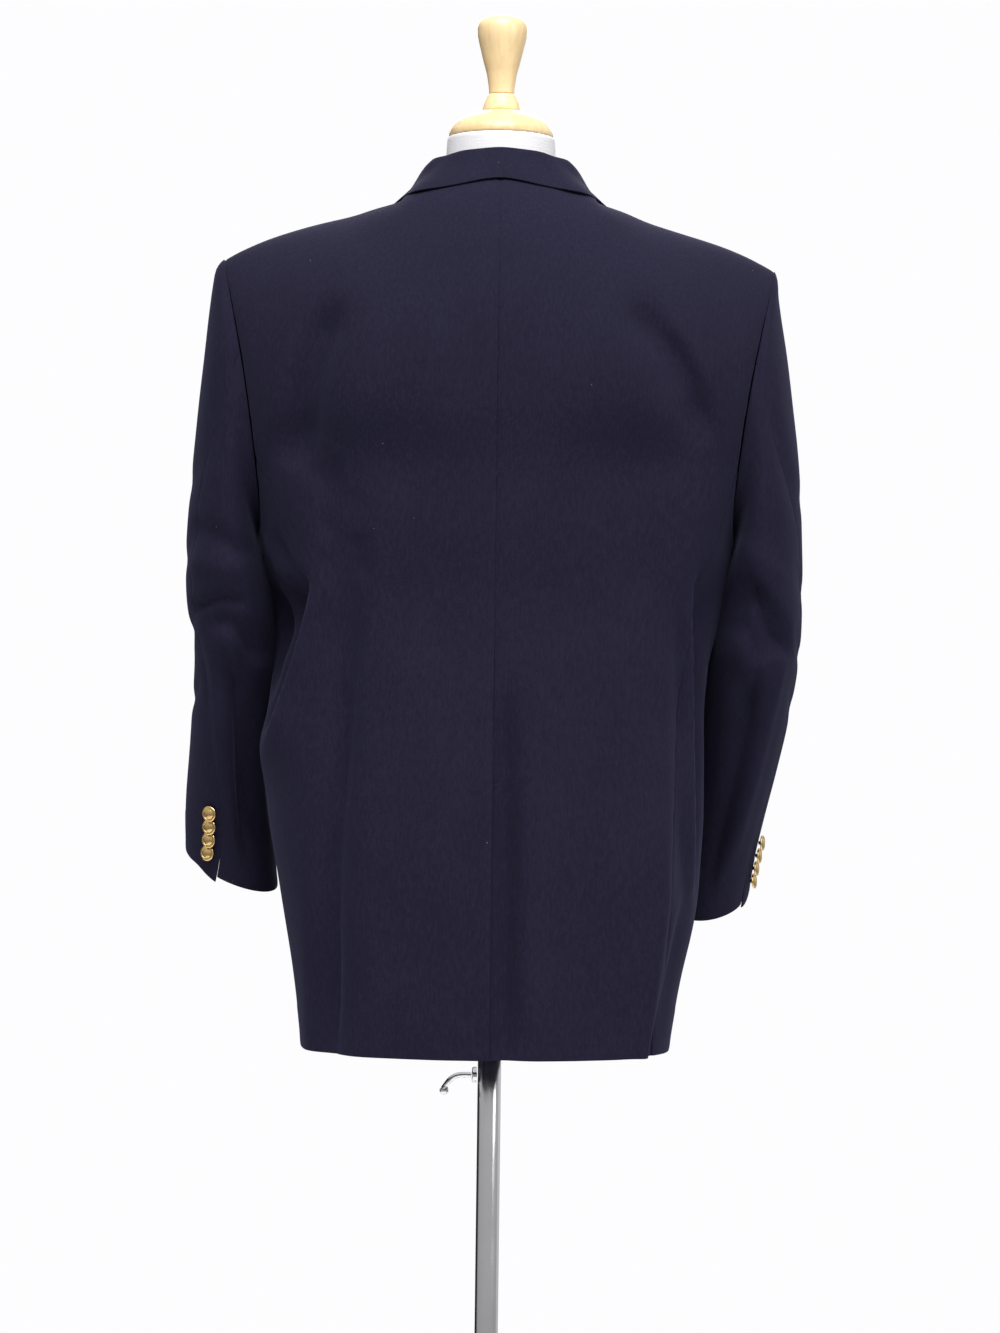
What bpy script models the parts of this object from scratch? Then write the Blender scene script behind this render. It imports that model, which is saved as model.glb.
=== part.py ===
"""A single-breasted sport coat resting on a limbless dress form with a turned wooden cap.

The coat faces -Y, its left is +X, and the origin is on the floor under the stand's pole.
Every cloth piece is a wall of one thickness about its own middle surface. The lower coat is a stack
of rounded sections read from the BODY table, the upper coat is swept over the shoulders from those
sections, and each sleeve is a loft of ellipses read from its SLEEVE table.
"""
import math

import bmesh
import bpy
import numpy as np
from mathutils import Matrix

# ---------------------------------------------------------------- driving dimensions, in metres
WALL = 0.0018                # coat cloth with its backing
SEAM_GAP = 0.0004            # between the middles of pieces that meet at a seam
SLEEVE_GAP = 0.0019          # the same along the sleeves' rounder seams
ARMHOLE_GAP = 0.0020         # twice what the coat is drawn back from the armhole ...
UNDER_ARM_GAP = 0.0048       # ... and what is added under the arm
LAYER = WALL + 0.0005        # from one cloth's middle to the next one's, where they lie on each other
CHEST_LAYER = LAYER + 0.0007  # the same for lapels and welt, which bridge the chest's curve

HEM = 0.746                  # height of the back hem
FRONT_DROP = 0.010           # the fronts are this much longer
CORNER_RADIUS = 0.075        # rounded lower corner of each front
VENT_TOP = 1.005             # top of the centre vent
VENT_UNDERLAP = 0.035        # how far the right back runs on under the left
BUTTON_STAND = 0.018         # front edge beyond the centre front at the buttons
ROLL_START = 1.045           # height where the left lapel starts to turn
ROLL_CLEAR = 1.135           # height where the right lapel comes out from under the left front

TIP_X = 0.2580               # shoulder tip, where the sleeve is set in
TIP_Z = {1: 1.4790, -1: 1.4740}
ARM_LOW_X = 0.2190           # lowest point of the armhole
ARM_LOW_Z = 1.2275
ARM_MID_Y = 0.005            # the armhole's middle, front to back
ARM_HALF_Y = 0.074
BOW_BACK = 0.007             # how far the armhole bows in at the back and at the front
BOW_FRONT = 0.022
NECK_X = 0.092               # where the shoulder seam meets the neck
RIDGE_DROP_SPAN = 0.090      # the right shoulder lies lower than the left from this far out
NECK_Y = 0.0
NAPE_Y = 0.070               # the back neckline at the centre
NAPE_Z = 1.553
NAPE_SWELL_X = 0.140         # how far along the shoulder the back swells toward the nape ...
NAPE_SWELL_TURN = 32.0       # ... and how far below the neckline it is cut to it, in degrees

STATION = 15.0               # degrees between the points that armhole and sleeve share
BACK_JOIN = 120.0            # the side-back seam's place on the armhole, in degrees from the shoulder
FRONT_JOIN = 210.0           # the side-front seam's place
HIND_SEAM = 75.0             # the sleeve's two seams at the armhole
FORE_SEAM = 240.0

NECK_COLUMNS = 5
SHOULDER_COLUMNS = 8
SIDE_COLUMNS = 6
LOWER_ROWS = 14
LAPEL_COLUMNS = 4
LAPEL_ROWS = 12
COLLAR_GORGE_ROWS = 4        # from the shoulder seam to the gorge
COLLAR_SHOULDER = 0.6        # the shoulder seam's place along the collar
GORGE_ROLL_Z = 1.4865        # the gorge seam, from the roll line ...
GORGE_TIP_Z = 1.4470         # ... to the lapel's point

STAND_INSET = 0.0024         # the collar's stand rises just inside the neckline
COLLAR_LAYER = LAYER + 0.0015  # from the coat's middle to the middle of the fall's edge
COLLAR_WALL = 0.0016
COLLAR_ROLL = 0.0030         # how sharply the collar rolls over

BUTTON_RADIUS = 0.0075       # cuff buttons
BUTTON_PITCH = 0.0128
BUTTON_RISE = 0.0230         # from the cuff to the lowest one's centre
BUTTON_TURN = 13.0           # degrees round the sleeve from the hind-arm seam
BUTTON_TILT = 18.0           # degrees, each one leaning over the next
FRONT_BUTTON_RADIUS = 0.0100
FRONT_BUTTON_HEIGHTS = (1.035, 0.930)
SHANK = 0.0030               # a button's back stands this far off the cloth
SHANK_RADIUS = 0.0018
BUTTON_RIM = 0.0016          # thickness of a button's rim, and its dome's rise beyond it
BUTTON_DOME = 0.0014
CUFF_TIP = {1: 0.006, -1: 0.004}  # the top sleeve's corner at the vent hangs this much lower
CUFF_TIP_TURN = 28.0
FLAP_HEIGHTS = (0.908, 0.928, 0.948, 0.968)
FLAP_SLANT = 0.002           # fall of a flap from column to column toward the side
WELT_X = (0.196, 0.124)
WELT_Z = 1.318
WELT_ROWS = (0.0, 0.011, 0.022)
WELT_SLANT = 0.012

POLE_RADIUS = 0.0110
POLE_WALL = 0.0018
POLE_TOP = 0.775
ROD_RADIUS = 0.0088
ROD_BOTTOM = 0.375
FORM_BOTTOM = 0.800
NECK_BOTTOM = 1.545
CAP_BOTTOM = 1.598
BASE_RADIUS = 0.170
BASE_THICKNESS = 0.008
LEVER_Z = 0.715
GAP = 0.0003

# ---------------------------------------------------------------- tables


class Table:
    """Rows under named columns, read between rows along a smooth curve over the first column."""

    def __init__(self, names, rows):
        self.names = names
        self.data = np.array(rows, dtype=float)

    def at(self, name, place):
        keys = self.data[:, 0]
        values = self.data[:, self.names.index(name)]
        place = min(max(place, keys[0]), keys[-1])
        k = min(int(np.searchsorted(keys, place, side="right")) - 1, len(keys) - 2)
        span = keys[k + 1] - keys[k]
        t = (place - keys[k]) / span
        first, last = (self.slope(keys, values, i) * span for i in (k, k + 1))
        return ((1 + 2 * t) * (1 - t) ** 2 * values[k] + t * (1 - t) ** 2 * first
                + t * t * (3 - 2 * t) * values[k + 1] - t * t * (1 - t) * last)

    @staticmethod
    def slope(keys, values, i):
        """Slope at row i that never overshoots its neighbours."""
        rises = np.diff(values) / np.diff(keys)
        if i == 0:
            return rises[0]
        if i == len(keys) - 1:
            return rises[-1]
        before, after = rises[i - 1], rises[i]
        if before * after <= 0:
            return 0.0
        return 2 * before * after / (before + after)


# The coat's sections: half width on its left and right, depth behind and before the pole's axis, and
# how square the section is (2 is an ellipse).
BODY = Table(("height", "left", "right", "back", "front", "square"), (
    (0.730, 0.174, 0.163, 0.149, 0.152, 3.0),
    (0.800, 0.182, 0.175, 0.150, 0.156, 2.9),
    (0.890, 0.197, 0.193, 0.150, 0.160, 2.8),
    (0.970, 0.211, 0.197, 0.146, 0.160, 2.7),
    (1.020, 0.216, 0.197, 0.142, 0.158, 2.6),
    (1.050, 0.2105, 0.1965, 0.1395, 0.1565, 2.6),
    (1.080, 0.2055, 0.198, 0.137, 0.155, 2.7),
    (1.115, 0.2014, 0.2014, 0.135, 0.154, 2.8),
    (1.150, 0.203, 0.205, 0.134, 0.154, 2.7),
    (1.178, 0.209, 0.2105, 0.1355, 0.155, 2.65),
    (1.205, 0.2165, 0.2165, 0.138, 0.157, 2.7),
    (1.290, 0.235, 0.235, 0.144, 0.161, 2.6),
))

# Where the side panels are joined: x of the side-back seam on each side, and the side-front seam as a
# share of the way round from the centre back to the centre front.
SEAMS = Table(("height", "left", "right", "front_turn"), (
    (0.730, 0.143, 0.147, 0.610),
    (0.900, 0.143, 0.163, 0.605),
    (0.990, 0.139, 0.172, 0.600),
    (1.070, 0.138, 0.176, 0.595),
    (1.155, 0.150, 0.184, 0.580),
    (1.200, 0.172, 0.196, 0.570),
    (1.290, 0.2235, 0.2235, 0.562),
))

# The fronts' edge below the shoulder sweep, as x on the front's own side.
EDGE = Table(("height", "x"), (
    (0.730, 0.026),
    (0.800, 0.012),
    (0.870, -0.006),
    (0.930, -0.016),
    (0.970, -BUTTON_STAND),
    (ROLL_START, -BUTTON_STAND),
    (1.135, 0.0024),
    (1.245, 0.0274),
))

# The shoulder's ridge from the neck to the sleeve, and how far it lies behind the pole's axis.
SHOULDER = Table(("x", "height", "y"), (
    (0.092, 1.5318, 0.000),
    (0.102, 1.5300, 0.000),
    (0.112, 1.5277, 0.001),
    (0.124, 1.5242, 0.001),
    (0.142, 1.5195, 0.002),
    (0.182, 1.5095, 0.003),
    (0.224, 1.4955, 0.004),
    (0.258, 1.4790, 0.005),
))

# Sleeve sections from the armhole (0) to the cuff: the outermost and innermost points, the middle
# and half depth front to back, how far the back edge hangs below the middle, and the places of the
# hind-arm and forearm seams in degrees from the outermost point.
SLEEVE_NAMES = ("row", "out_x", "out_z", "in_x", "in_z", "mid_y", "half_y", "lean", "hind", "fore")
SLEEVES = {
    1: Table(SLEEVE_NAMES, (
        (0, 0.2580, 1.4790, 0.2190, 1.2275, 0.005, 0.0740, 0.000, 75, 240),
        (1, 0.2655, 1.4645, 0.2235, 1.2258, 0.005, 0.0755, 0.000, 79, 240),
        (2, 0.2698, 1.4380, 0.2245, 1.2170, 0.004, 0.0765, 0.001, 78, 240),
        (3, 0.2742, 1.3990, 0.2220, 1.2060, 0.003, 0.0770, 0.002, 72, 241),
        (4, 0.2805, 1.3400, 0.2185, 1.1950, 0.001, 0.0770, 0.003, 60, 242),
        (5, 0.2865, 1.2750, 0.2135, 1.1780, -0.002, 0.0765, 0.004, 48, 243),
        (6, 0.2905, 1.2220, 0.2085, 1.1560, -0.006, 0.0755, 0.006, 40, 244),
        (7, 0.2915, 1.1800, 0.2055, 1.1280, -0.011, 0.0740, 0.008, 36, 246),
        (8, 0.2892, 1.1446, 0.2050, 1.1030, -0.018, 0.0710, 0.010, 38, 248),
        (9, 0.2850, 1.1119, 0.2080, 1.0780, -0.027, 0.0675, 0.012, 46, 250),
        (10, 0.2862, 1.0680, 0.2155, 1.0410, -0.038, 0.0630, 0.013, 64, 252),
        (11, 0.2895, 1.0250, 0.2190, 0.9960, -0.050, 0.0585, 0.013, 80, 254),
        (12, 0.2930, 0.9880, 0.2165, 0.9560, -0.063, 0.0535, 0.012, 87, 256),
        (13, 0.2950, 0.9530, 0.2110, 0.9180, -0.073, 0.0490, 0.012, 84, 258),
        (14, 0.2945, 0.9220, 0.2085, 0.8850, -0.080, 0.0470, 0.012, 75, 260),
    )),
    -1: Table(SLEEVE_NAMES, (
        (0, 0.2580, 1.4740, 0.2190, 1.2275, 0.005, 0.0740, 0.000, 75, 240),
        (1, 0.2600, 1.4600, 0.2235, 1.2258, 0.005, 0.0755, 0.000, 80, 240),
        (2, 0.2640, 1.4310, 0.2245, 1.2170, 0.004, 0.0765, 0.001, 79, 240),
        (3, 0.2700, 1.3960, 0.2225, 1.2060, 0.003, 0.0770, 0.002, 75, 241),
        (4, 0.2775, 1.3420, 0.2190, 1.1940, 0.001, 0.0770, 0.003, 64, 242),
        (5, 0.2842, 1.2850, 0.2145, 1.1750, -0.003, 0.0765, 0.005, 46, 243),
        (6, 0.2874, 1.2300, 0.2095, 1.1500, -0.009, 0.0755, 0.008, 31, 244),
        (7, 0.2895, 1.1750, 0.2045, 1.1180, -0.020, 0.0735, 0.012, 22, 246),
        (8, 0.2895, 1.1250, 0.2010, 1.0850, -0.034, 0.0705, 0.016, 18, 248),
        (9, 0.2860, 1.0820, 0.1985, 1.0500, -0.054, 0.0665, 0.019, 22, 250),
        (10, 0.2795, 1.0400, 0.1965, 1.0130, -0.074, 0.0620, 0.020, 27, 252),
        (11, 0.2710, 0.9950, 0.1935, 0.9730, -0.096, 0.0575, 0.019, 32, 254),
        (12, 0.2630, 0.9550, 0.1885, 0.9350, -0.117, 0.0530, 0.018, 36, 256),
        (13, 0.2565, 0.9170, 0.1825, 0.8990, -0.136, 0.0485, 0.018, 39, 258),
        (14, 0.2525, 0.8850, 0.1790, 0.8670, -0.150, 0.0465, 0.019, 40, 260),
    )),
}

# The largest soft folds of the back: the side, x and z where each one starts and ends, its half width,
# and how far it stands out (or sinks in, below zero).
BACK_FOLDS = (
    (1, 0.150, 1.425, 0.178, 1.290, 0.022, -0.0060),
    (1, 0.143, 1.270, 0.132, 1.150, 0.014, -0.0030),
    (1, 0.132, 1.150, 0.140, 0.730, 0.014, -0.0040),
    (1, 0.165, 1.170, 0.205, 1.020, 0.016, 0.0060),
    (1, 0.198, 1.150, 0.214, 1.080, 0.020, -0.0060),
    (-1, 0.128, 1.420, 0.186, 1.310, 0.018, -0.0060),
    (-1, 0.172, 1.150, 0.180, 0.900, 0.014, -0.0050),
    (-1, 0.152, 0.960, 0.146, 0.730, 0.014, 0.0050),
)

# The elbow's creases: the side, row and degrees round the sleeve, their reach along it (in rows) and
# round it (in degrees), and their height.
SLEEVE_FOLDS = (
    (1, 6.7, 95, 0.7, 45, -0.0050),
    (1, 8.6, 80, 0.7, 60, -0.0070),
    (1, 7.6, 85, 0.6, 55, 0.0030),
    (-1, 8.6, 110, 0.8, 50, -0.0080),
    (-1, 7.4, 95, 0.7, 50, 0.0040),
    (-1, 4.5, 60, 0.6, 25, -0.0025),
)

# The lapel's reach beyond the roll line.
LAPEL = Table(("height", "reach"), (
    (1.045, 0.0020),
    (1.135, 0.0340),
    (1.220, 0.0570),
    (1.330, 0.0760),
    (1.447, 0.0870),
))

# The collar from the centre back (0) to the gorge (1): its roll line, the fall's edge (which lies on the
# coat) as its x and its degrees behind the shoulder seam, and how far the fall hollows between them.
COLLAR = Table(("place", "roll_x", "roll_y", "roll_z", "edge_x", "edge_turn", "hollow"), (
    (0.00, 0.0000, 0.0790, 1.5765, 0.0000, 19.0, 0.0000),
    (0.20, 0.0310, 0.0730, 1.5745, 0.0440, 22.0, 0.0010),
    (0.40, 0.0550, 0.0500, 1.5700, 0.0860, 16.0, 0.0015),
    (0.50, 0.0635, 0.0280, 1.5670, 0.0985, 4.0, 0.0025),
    (0.58, 0.0690, 0.0060, 1.5610, 0.1055, -7.0, 0.0030),
    (0.70, 0.0740, -0.0250, 1.5490, 0.1170, -22.0, 0.0035),
    (0.86, 0.0815, -0.0630, 1.5220, 0.1320, -36.0, 0.0030),
    (1.00, 0.0815, -0.0960, 1.4950, 0.1215, -49.5, 0.0010),
))

# The dress form's sections, pointed to left and right where they rise along the shoulders to the neck.
FORM = Table(("height", "half", "back", "front", "square"), (
    (0.800, 0.150, 0.1000, 0.1060, 2.00),
    (0.815, 0.158, 0.1060, 0.1120, 2.00),
    (0.870, 0.166, 0.1120, 0.1200, 2.00),
    (0.940, 0.165, 0.1120, 0.1210, 2.00),
    (1.060, 0.148, 0.1010, 0.1120, 2.00),
    (1.140, 0.150, 0.1020, 0.1160, 2.00),
    (1.240, 0.172, 0.1150, 0.1280, 2.00),
    (1.330, 0.190, 0.1210, 0.1260, 2.00),
    (1.400, 0.198, 0.1140, 0.1140, 2.00),
    (1.440, 0.200, 0.1020, 0.0950, 2.00),
    (1.470, 0.200, 0.0910, 0.0780, 2.00),
    (1.487, 0.199, 0.0800, 0.0610, 1.80),
    (1.497, 0.193, 0.0640, 0.0540, 1.60),
    (1.5025, 0.178, 0.0570, 0.0520, 1.50),
    (1.510, 0.156, 0.0540, 0.0515, 1.35),
    (1.5145, 0.136, 0.0530, 0.0510, 1.20),
    (1.518, 0.1115, 0.0525, 0.0505, 1.08),
    (1.522, 0.0865, 0.0525, 0.0505, 1.25),
    (1.530, 0.062, 0.0525, 0.0510, 1.70),
    (1.545, 0.053, 0.0525, 0.0510, 2.00),
))

# Turned profiles, radius and height from top to bottom.
FINIAL = ((0.0000, 1.7120), (0.0150, 1.7110), (0.0215, 1.7070), (0.0236, 1.7010), (0.0232, 1.6940),
          (0.0205, 1.6820), (0.0175, 1.6700), (0.0146, 1.6600), (0.0128, 1.6500), (0.0118, 1.6420),
          (0.0116, 1.6390), (0.0000, 1.6390))
BEAD = ((0.0000, 1.6387), (0.0126, 1.6387), (0.0145, 1.6360), (0.0163, 1.6320), (0.0175, 1.6270),
        (0.0175, 1.6230), (0.0165, 1.6220), (0.0000, 1.6220))
CAP = ((0.0000, 1.6217), (0.0220, 1.6217), (0.0300, 1.6195), (0.0400, 1.6140), (0.0470, 1.6070),
       (0.0490, 1.6010), (0.0490, CAP_BOTTOM), (0.0000, CAP_BOTTOM))

COLOURS = {
    "coat": ((0.018, 0.018, 0.034), 0.88, 0.0),
    "brass": ((0.78, 0.52, 0.20), 0.28, 1.0),
    "form": ((0.72, 0.68, 0.60), 0.90, 0.0),
    "wood": ((0.86, 0.66, 0.36), 0.45, 0.0),
    "steel": ((0.70, 0.71, 0.72), 0.22, 1.0),
}

# ---------------------------------------------------------------- surfaces


def blend(first, last, share):
    return first + (last - first) * share


def ease(share):
    share = min(max(share, 0.0), 1.0)
    return share * share * (3 - 2 * share)


def side_name(side):
    return "left" if side > 0 else "right"


def half_width(side, height):
    return BODY.at(side_name(side), height)


def turn_at(side, x, height, behind):
    """Way round the section, 0 at the centre back and 1 at the centre front, where its x is this."""
    square = BODY.at("square", height)
    across = x / half_width(side, height)
    along = (1 - min(abs(across), 1.0) ** square) ** (1 / square)
    return math.atan2(across, along if behind else -along) / math.pi


def section(side, turn, height):
    """Point on a plain rounded section of the coat."""
    square = BODY.at("square", height)
    sine, cosine = math.sin(math.pi * turn), math.cos(math.pi * turn)
    reach = (abs(sine) ** square + abs(cosine) ** square) ** (-1 / square)
    depth = BODY.at("back" if cosine > 0 else "front", height)
    return np.array((side * half_width(side, height) * reach * sine, depth * reach * cosine, height))


def armhole(side, degrees):
    """Point on the armhole, 0 degrees at the shoulder, 90 behind, 180 under the arm."""
    sine, cosine = math.sin(math.radians(degrees)), math.cos(math.radians(degrees))
    bow = BOW_BACK if sine > 0 else BOW_FRONT
    up = (1 + cosine) / 2
    return np.array((side * (blend(ARM_LOW_X, TIP_X, up) - bow * sine * sine),
                     ARM_MID_Y + ARM_HALF_Y * sine,
                     blend(ARM_LOW_Z, TIP_Z[side], up)))


def join_level(side, degrees):
    return armhole(side, degrees)[2]


def back_seam(side, height):
    return turn_at(side, SEAMS.at(side_name(side), height), height, True)


def front_seam(height):
    return SEAMS.at("front_turn", height)


def front_edge(side, height):
    return 2 - turn_over(side, height) if EDGE.at("x", height) < 0 else turn_over(side, height)


def turn_over(side, height):
    """Way round to the front edge, on whichever side of the centre front it lies."""
    return turn_at(side, abs(EDGE.at("x", height)), height, False)


def distance_to(x, z, x_top, z_top, x_low, z_low):
    """Distance in the plane of the back from a point to a fold's line."""
    along = np.array((x_low - x_top, z_low - z_top))
    share = np.dot((x - x_top, z - z_top), along) / np.dot(along, along)
    share = min(max(share, 0.0), 1.0)
    return math.hypot(x - x_top - share * along[0], z - z_top - share * along[1])


def fold_height(side, point):
    """How far the back's soft folds move a point out."""
    x, y, z = side * point[0], point[1], point[2]
    total = 0.0
    for fold_side, x_top, z_top, x_low, z_low, width, height in BACK_FOLDS:
        if fold_side == side:
            away = distance_to(x, z, x_top, z_top, x_low, z_low)
            total += height * math.exp(-(away / width) ** 2)
    return total * ease(y / 0.05)


def outward(side, point, height):
    """Level direction out of the coat."""
    depth = BODY.at("back" if point[1] > 0 else "front", height)
    way = np.array((point[0] / half_width(side, height) ** 2, point[1] / depth ** 2, 0.0))
    return way / np.linalg.norm(way)


def folded(side, point):
    height = min(point[2], join_level(side, BACK_JOIN))
    return point + outward(side, point, height) * fold_height(side, point)


def plain_coat(side, turn, height):
    """Point on the lower coat before its folds, drawn onto the armhole at the two seams."""
    point = section(side, turn, height)
    for degrees, seam in ((BACK_JOIN, back_seam), (FRONT_JOIN, lambda _, level: front_seam(level))):
        level = join_level(side, degrees)
        place = seam(side, level)
        pull = armhole(side, degrees) - section(side, place, level)
        near = ease(1 - abs(height - level) / 0.09) * ease(1 - abs(turn - place) / 0.16)
        point = point + pull * near
    return point


def lower_coat(side, turn, height, lift=0.0):
    """Point on the lower coat, lift metres out from the cloth's middle."""
    point = folded(side, plain_coat(side, turn, height))
    return point + outward(side, point, height) * lift


def ridge(side, x):
    """Point on the shoulder seam."""
    drop = (TIP_Z[1] - TIP_Z[side]) * ease((x - NECK_X) / RIDGE_DROP_SPAN)
    return np.array((side * x, SHOULDER.at("y", x), SHOULDER.at("height", x) - drop))


def neckline(side, x):
    """Point on the back neckline."""
    across = min(x / NECK_X, 1.0)
    rise = math.sqrt(1 - across * across)
    return np.array((side * x, blend(NECK_Y, NAPE_Y, rise), blend(SHOULDER.at("height", NECK_X),
                                                                  NAPE_Z, rise ** 1.3)))


def back_top(side, x):
    return neckline(side, x) if x < NECK_X else ridge(side, x)


def nape_top(side, x):
    """The back's top as if no neckline were cut into it: smooth from the nape to the shoulder."""
    rise = max(0.0, 1 - (x / NAPE_SWELL_X) ** 2) ** 2
    near = ridge(side, max(x, NECK_X))
    return np.array((side * x, blend(near[1], NAPE_Y, rise), blend(near[2], NAPE_Z, rise)))


def sweep(degrees, join):
    """Share of the rise to the shoulder, with the armhole's own spacing."""
    low, high = math.cos(math.radians(join)), 1.0
    return (math.cos(math.radians(degrees)) - low) / (high - low)


def upper_back(side, across, degrees):
    """Point over the shoulder blade: across is x at the top as a share of the shoulder's reach."""
    level = join_level(side, BACK_JOIN)
    low = plain_coat(side, across * back_seam(side, level), level)
    x = across * TIP_X
    top = blend(nape_top(side, x), back_top(side, x), 1 - ease(degrees / NAPE_SWELL_TURN))
    up = sweep(degrees, BACK_JOIN)
    edge_low, edge, edge_top = (side * armhole(side, d)[0] for d in (BACK_JOIN, degrees, 0))
    inward = (edge - edge_low) / (edge_top - edge_low)
    swell = math.sin(math.radians(degrees)) / math.sin(math.radians(BACK_JOIN))
    point = np.array((blend(low[0], top[0], inward), blend(top[1], low[1], swell),
                      blend(low[2], top[2], up)))
    return folded(side, point)


def upper_front(side, across, degrees):
    """Point on the chest: across is 0 at the armhole and 1 at the roll line."""
    level = join_level(side, FRONT_JOIN)
    low = plain_coat(side, blend(front_seam(level), front_edge(side, level), across), level)
    top = ridge(side, blend(TIP_X, NECK_X, across))
    up = sweep(degrees, FRONT_JOIN)
    chest = math.sqrt(max(math.cos(math.radians(90 * up)), 0.0))
    point = np.array((blend(low[0], top[0], up), blend(top[1], low[1], chest), blend(low[2], top[2], up)))
    edge_low, edge, edge_top = (armhole(side, d) for d in (FRONT_JOIN, degrees, 360))
    plain_edge = (blend(edge_low[0], edge_top[0], up), blend(edge_top[1], edge_low[1], chest))
    fade = (1 - min(max(across, 0.0), 1.0)) ** 4
    point[0] += (edge[0] - plain_edge[0]) * fade
    point[1] += (edge[1] - plain_edge[1]) * fade
    return point


def lap_lift(side, x, height):
    """The left front and the left back lie over the right ones."""
    if side < 0:
        return 0.0
    return LAYER * ease(1.6 - abs(x) / 0.045) * ease((ROLL_CLEAR + 0.04 - height) / 0.04)


def vent_lift(side, x, height):
    if side < 0:
        return 0.0
    return LAYER * ease(2.1 - x / 0.035) * ease((VENT_TOP + 0.035 - height) / 0.03)


def hem_height(turn):
    return HEM - FRONT_DROP * ease((turn - 0.5) / 0.3)


def lower_front(side, across, height, lift=0.0):
    turn = blend(front_seam(height), front_edge(side, height), across)
    point = lower_coat(side, turn, height, lift)
    return point + outward(side, point, height) * lap_lift(side, point[0], height)


def front_point(side, across, up):
    """Point on a front: across is 0 at the armhole side and 1 at its edge; up is 1 at the armhole's
    join and 2 at the shoulder."""
    level = join_level(side, FRONT_JOIN)
    if up > 1:
        return upper_front(side, across, blend(FRONT_JOIN, 360, min(up, 2) - 1))
    return lower_front(side, across, blend(front_foot(side, across), level, up))


def front_foot(side, across):
    """Height of the front's hem, rounded up to its edge."""
    low = HEM - FRONT_DROP
    turn = blend(front_seam(low), front_edge(side, low), across)
    girth = np.linalg.norm(section(side, front_edge(side, low), low) - section(side, turn, low))
    past = max(0.0, CORNER_RADIUS - girth)
    return hem_height(turn) + CORNER_RADIUS - math.sqrt(CORNER_RADIUS ** 2 - past ** 2)


def out_of(surface, across, up):
    """Unit direction out of a surface, away from the pole's axis."""
    step = 1e-3
    here = surface(across, up)
    way = np.cross(surface(across + step, up) - here, surface(across, up - step) - here)
    way = way / np.linalg.norm(way)
    return way if np.dot(way[:2], here[:2]) > 0 else -way


def find(surface, x, z, start):
    """Across and up where a surface shows this x and z."""
    across, up = start
    step = 1e-3
    for _ in range(12):
        here = surface(across, up)
        by_across = (surface(across + step, up) - here) / step
        by_up = (surface(across, up - step) - here) / -step
        turn = by_across[0] * by_up[2] - by_up[0] * by_across[2]
        off_x, off_z = x - here[0], z - here[2]
        across += min(max((off_x * by_up[2] - off_z * by_up[0]) / turn, -0.2), 0.2)
        up += min(max((by_across[0] * off_z - by_across[2] * off_x) / turn, -0.2), 0.2)
        across = min(max(across, -0.2), 1.15)
        up = min(max(up, 0.0), 1.995)
    return across, up


def on_front(side, x, z, lift):
    """Point on a front at this x and z, moved out of it."""
    def surface(across, up):
        return front_point(side, across, up)
    across, up = find(surface, side * x, z, (0.6, 1.4 if z > 1.25 else 0.7))
    return surface(across, up) + out_of(surface, across, up) * lift


def on_shoulder(side, x, turn, lift):
    """Point on the upper coat at this x, `turn` degrees behind the shoulder seam (before it, below zero),
    moved out of it."""
    def surface(across, up):
        if turn < 0:
            return front_point(side, across, up)
        return upper_back(side, across, blend(BACK_JOIN, 0, up))
    up = 2 + turn / (360 - FRONT_JOIN) if turn < 0 else 1 - turn / BACK_JOIN
    near, far = (1.0, 0.0) if turn < 0 else (0.0, 1.0)
    for _ in range(30):
        middle = (near + far) / 2
        if abs(surface(middle, up)[0]) < x:
            near = middle
        else:
            far = middle
    return surface(near, up) + out_of(surface, near, up) * lift


def sleeve_point(side, row, degrees, lift=0.0):
    """Point on a sleeve, 0 degrees outermost, 90 behind, 180 next to the coat."""
    table = SLEEVES[side]
    far = np.array((side * table.at("out_x", row), 0.0, table.at("out_z", row)))
    near = np.array((side * table.at("in_x", row), 0.0, table.at("in_z", row)))
    half_y = table.at("half_y", row)
    sine, cosine = math.sin(math.radians(degrees)), math.cos(math.radians(degrees))
    middle = (far + near) / 2 + (0.0, table.at("mid_y", row), 0.0)
    reach = (far - near) / 2
    point = middle + reach * cosine + np.array((0.0, half_y, -table.at("lean", row))) * sine
    if row < 3:
        bow = (BOW_BACK if sine > 0 else BOW_FRONT) * sine * sine
        point[0] -= side * bow * (1 - row / 3) ** 2
    way = reach / np.dot(reach, reach) * cosine + np.array((0.0, 1 / half_y, 0.0)) * sine
    way = way / np.linalg.norm(way)
    for fold_side, at_row, at_turn, row_width, turn_width, height in SLEEVE_FOLDS:
        if fold_side == side:
            off = ((degrees + 180 - at_turn) % 360 - 180) / turn_width
            lift += height * math.exp(-((row - at_row) / row_width) ** 2 - off * off)
    return point + way * lift


# ---------------------------------------------------------------- objects


def collection():
    made = bpy.data.collections.new("sport_coat")
    bpy.context.scene.collection.children.link(made)
    return made


def material(name):
    if name in bpy.data.materials:
        return bpy.data.materials[name]
    colour, roughness, metallic = COLOURS[name]
    made = bpy.data.materials.new(name)
    made.use_nodes = True
    shader = made.node_tree.nodes["Principled BSDF"]
    shader.inputs["Base Color"].default_value = (*colour, 1.0)
    shader.inputs["Roughness"].default_value = roughness
    shader.inputs["Metallic"].default_value = metallic
    made.diffuse_color = (*colour, 1.0)
    return made


def add_object(name, data, finish, parts):
    made = bpy.data.objects.new(name, data)
    data.materials.append(material(finish))
    parts.objects.link(made)
    return made


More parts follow.
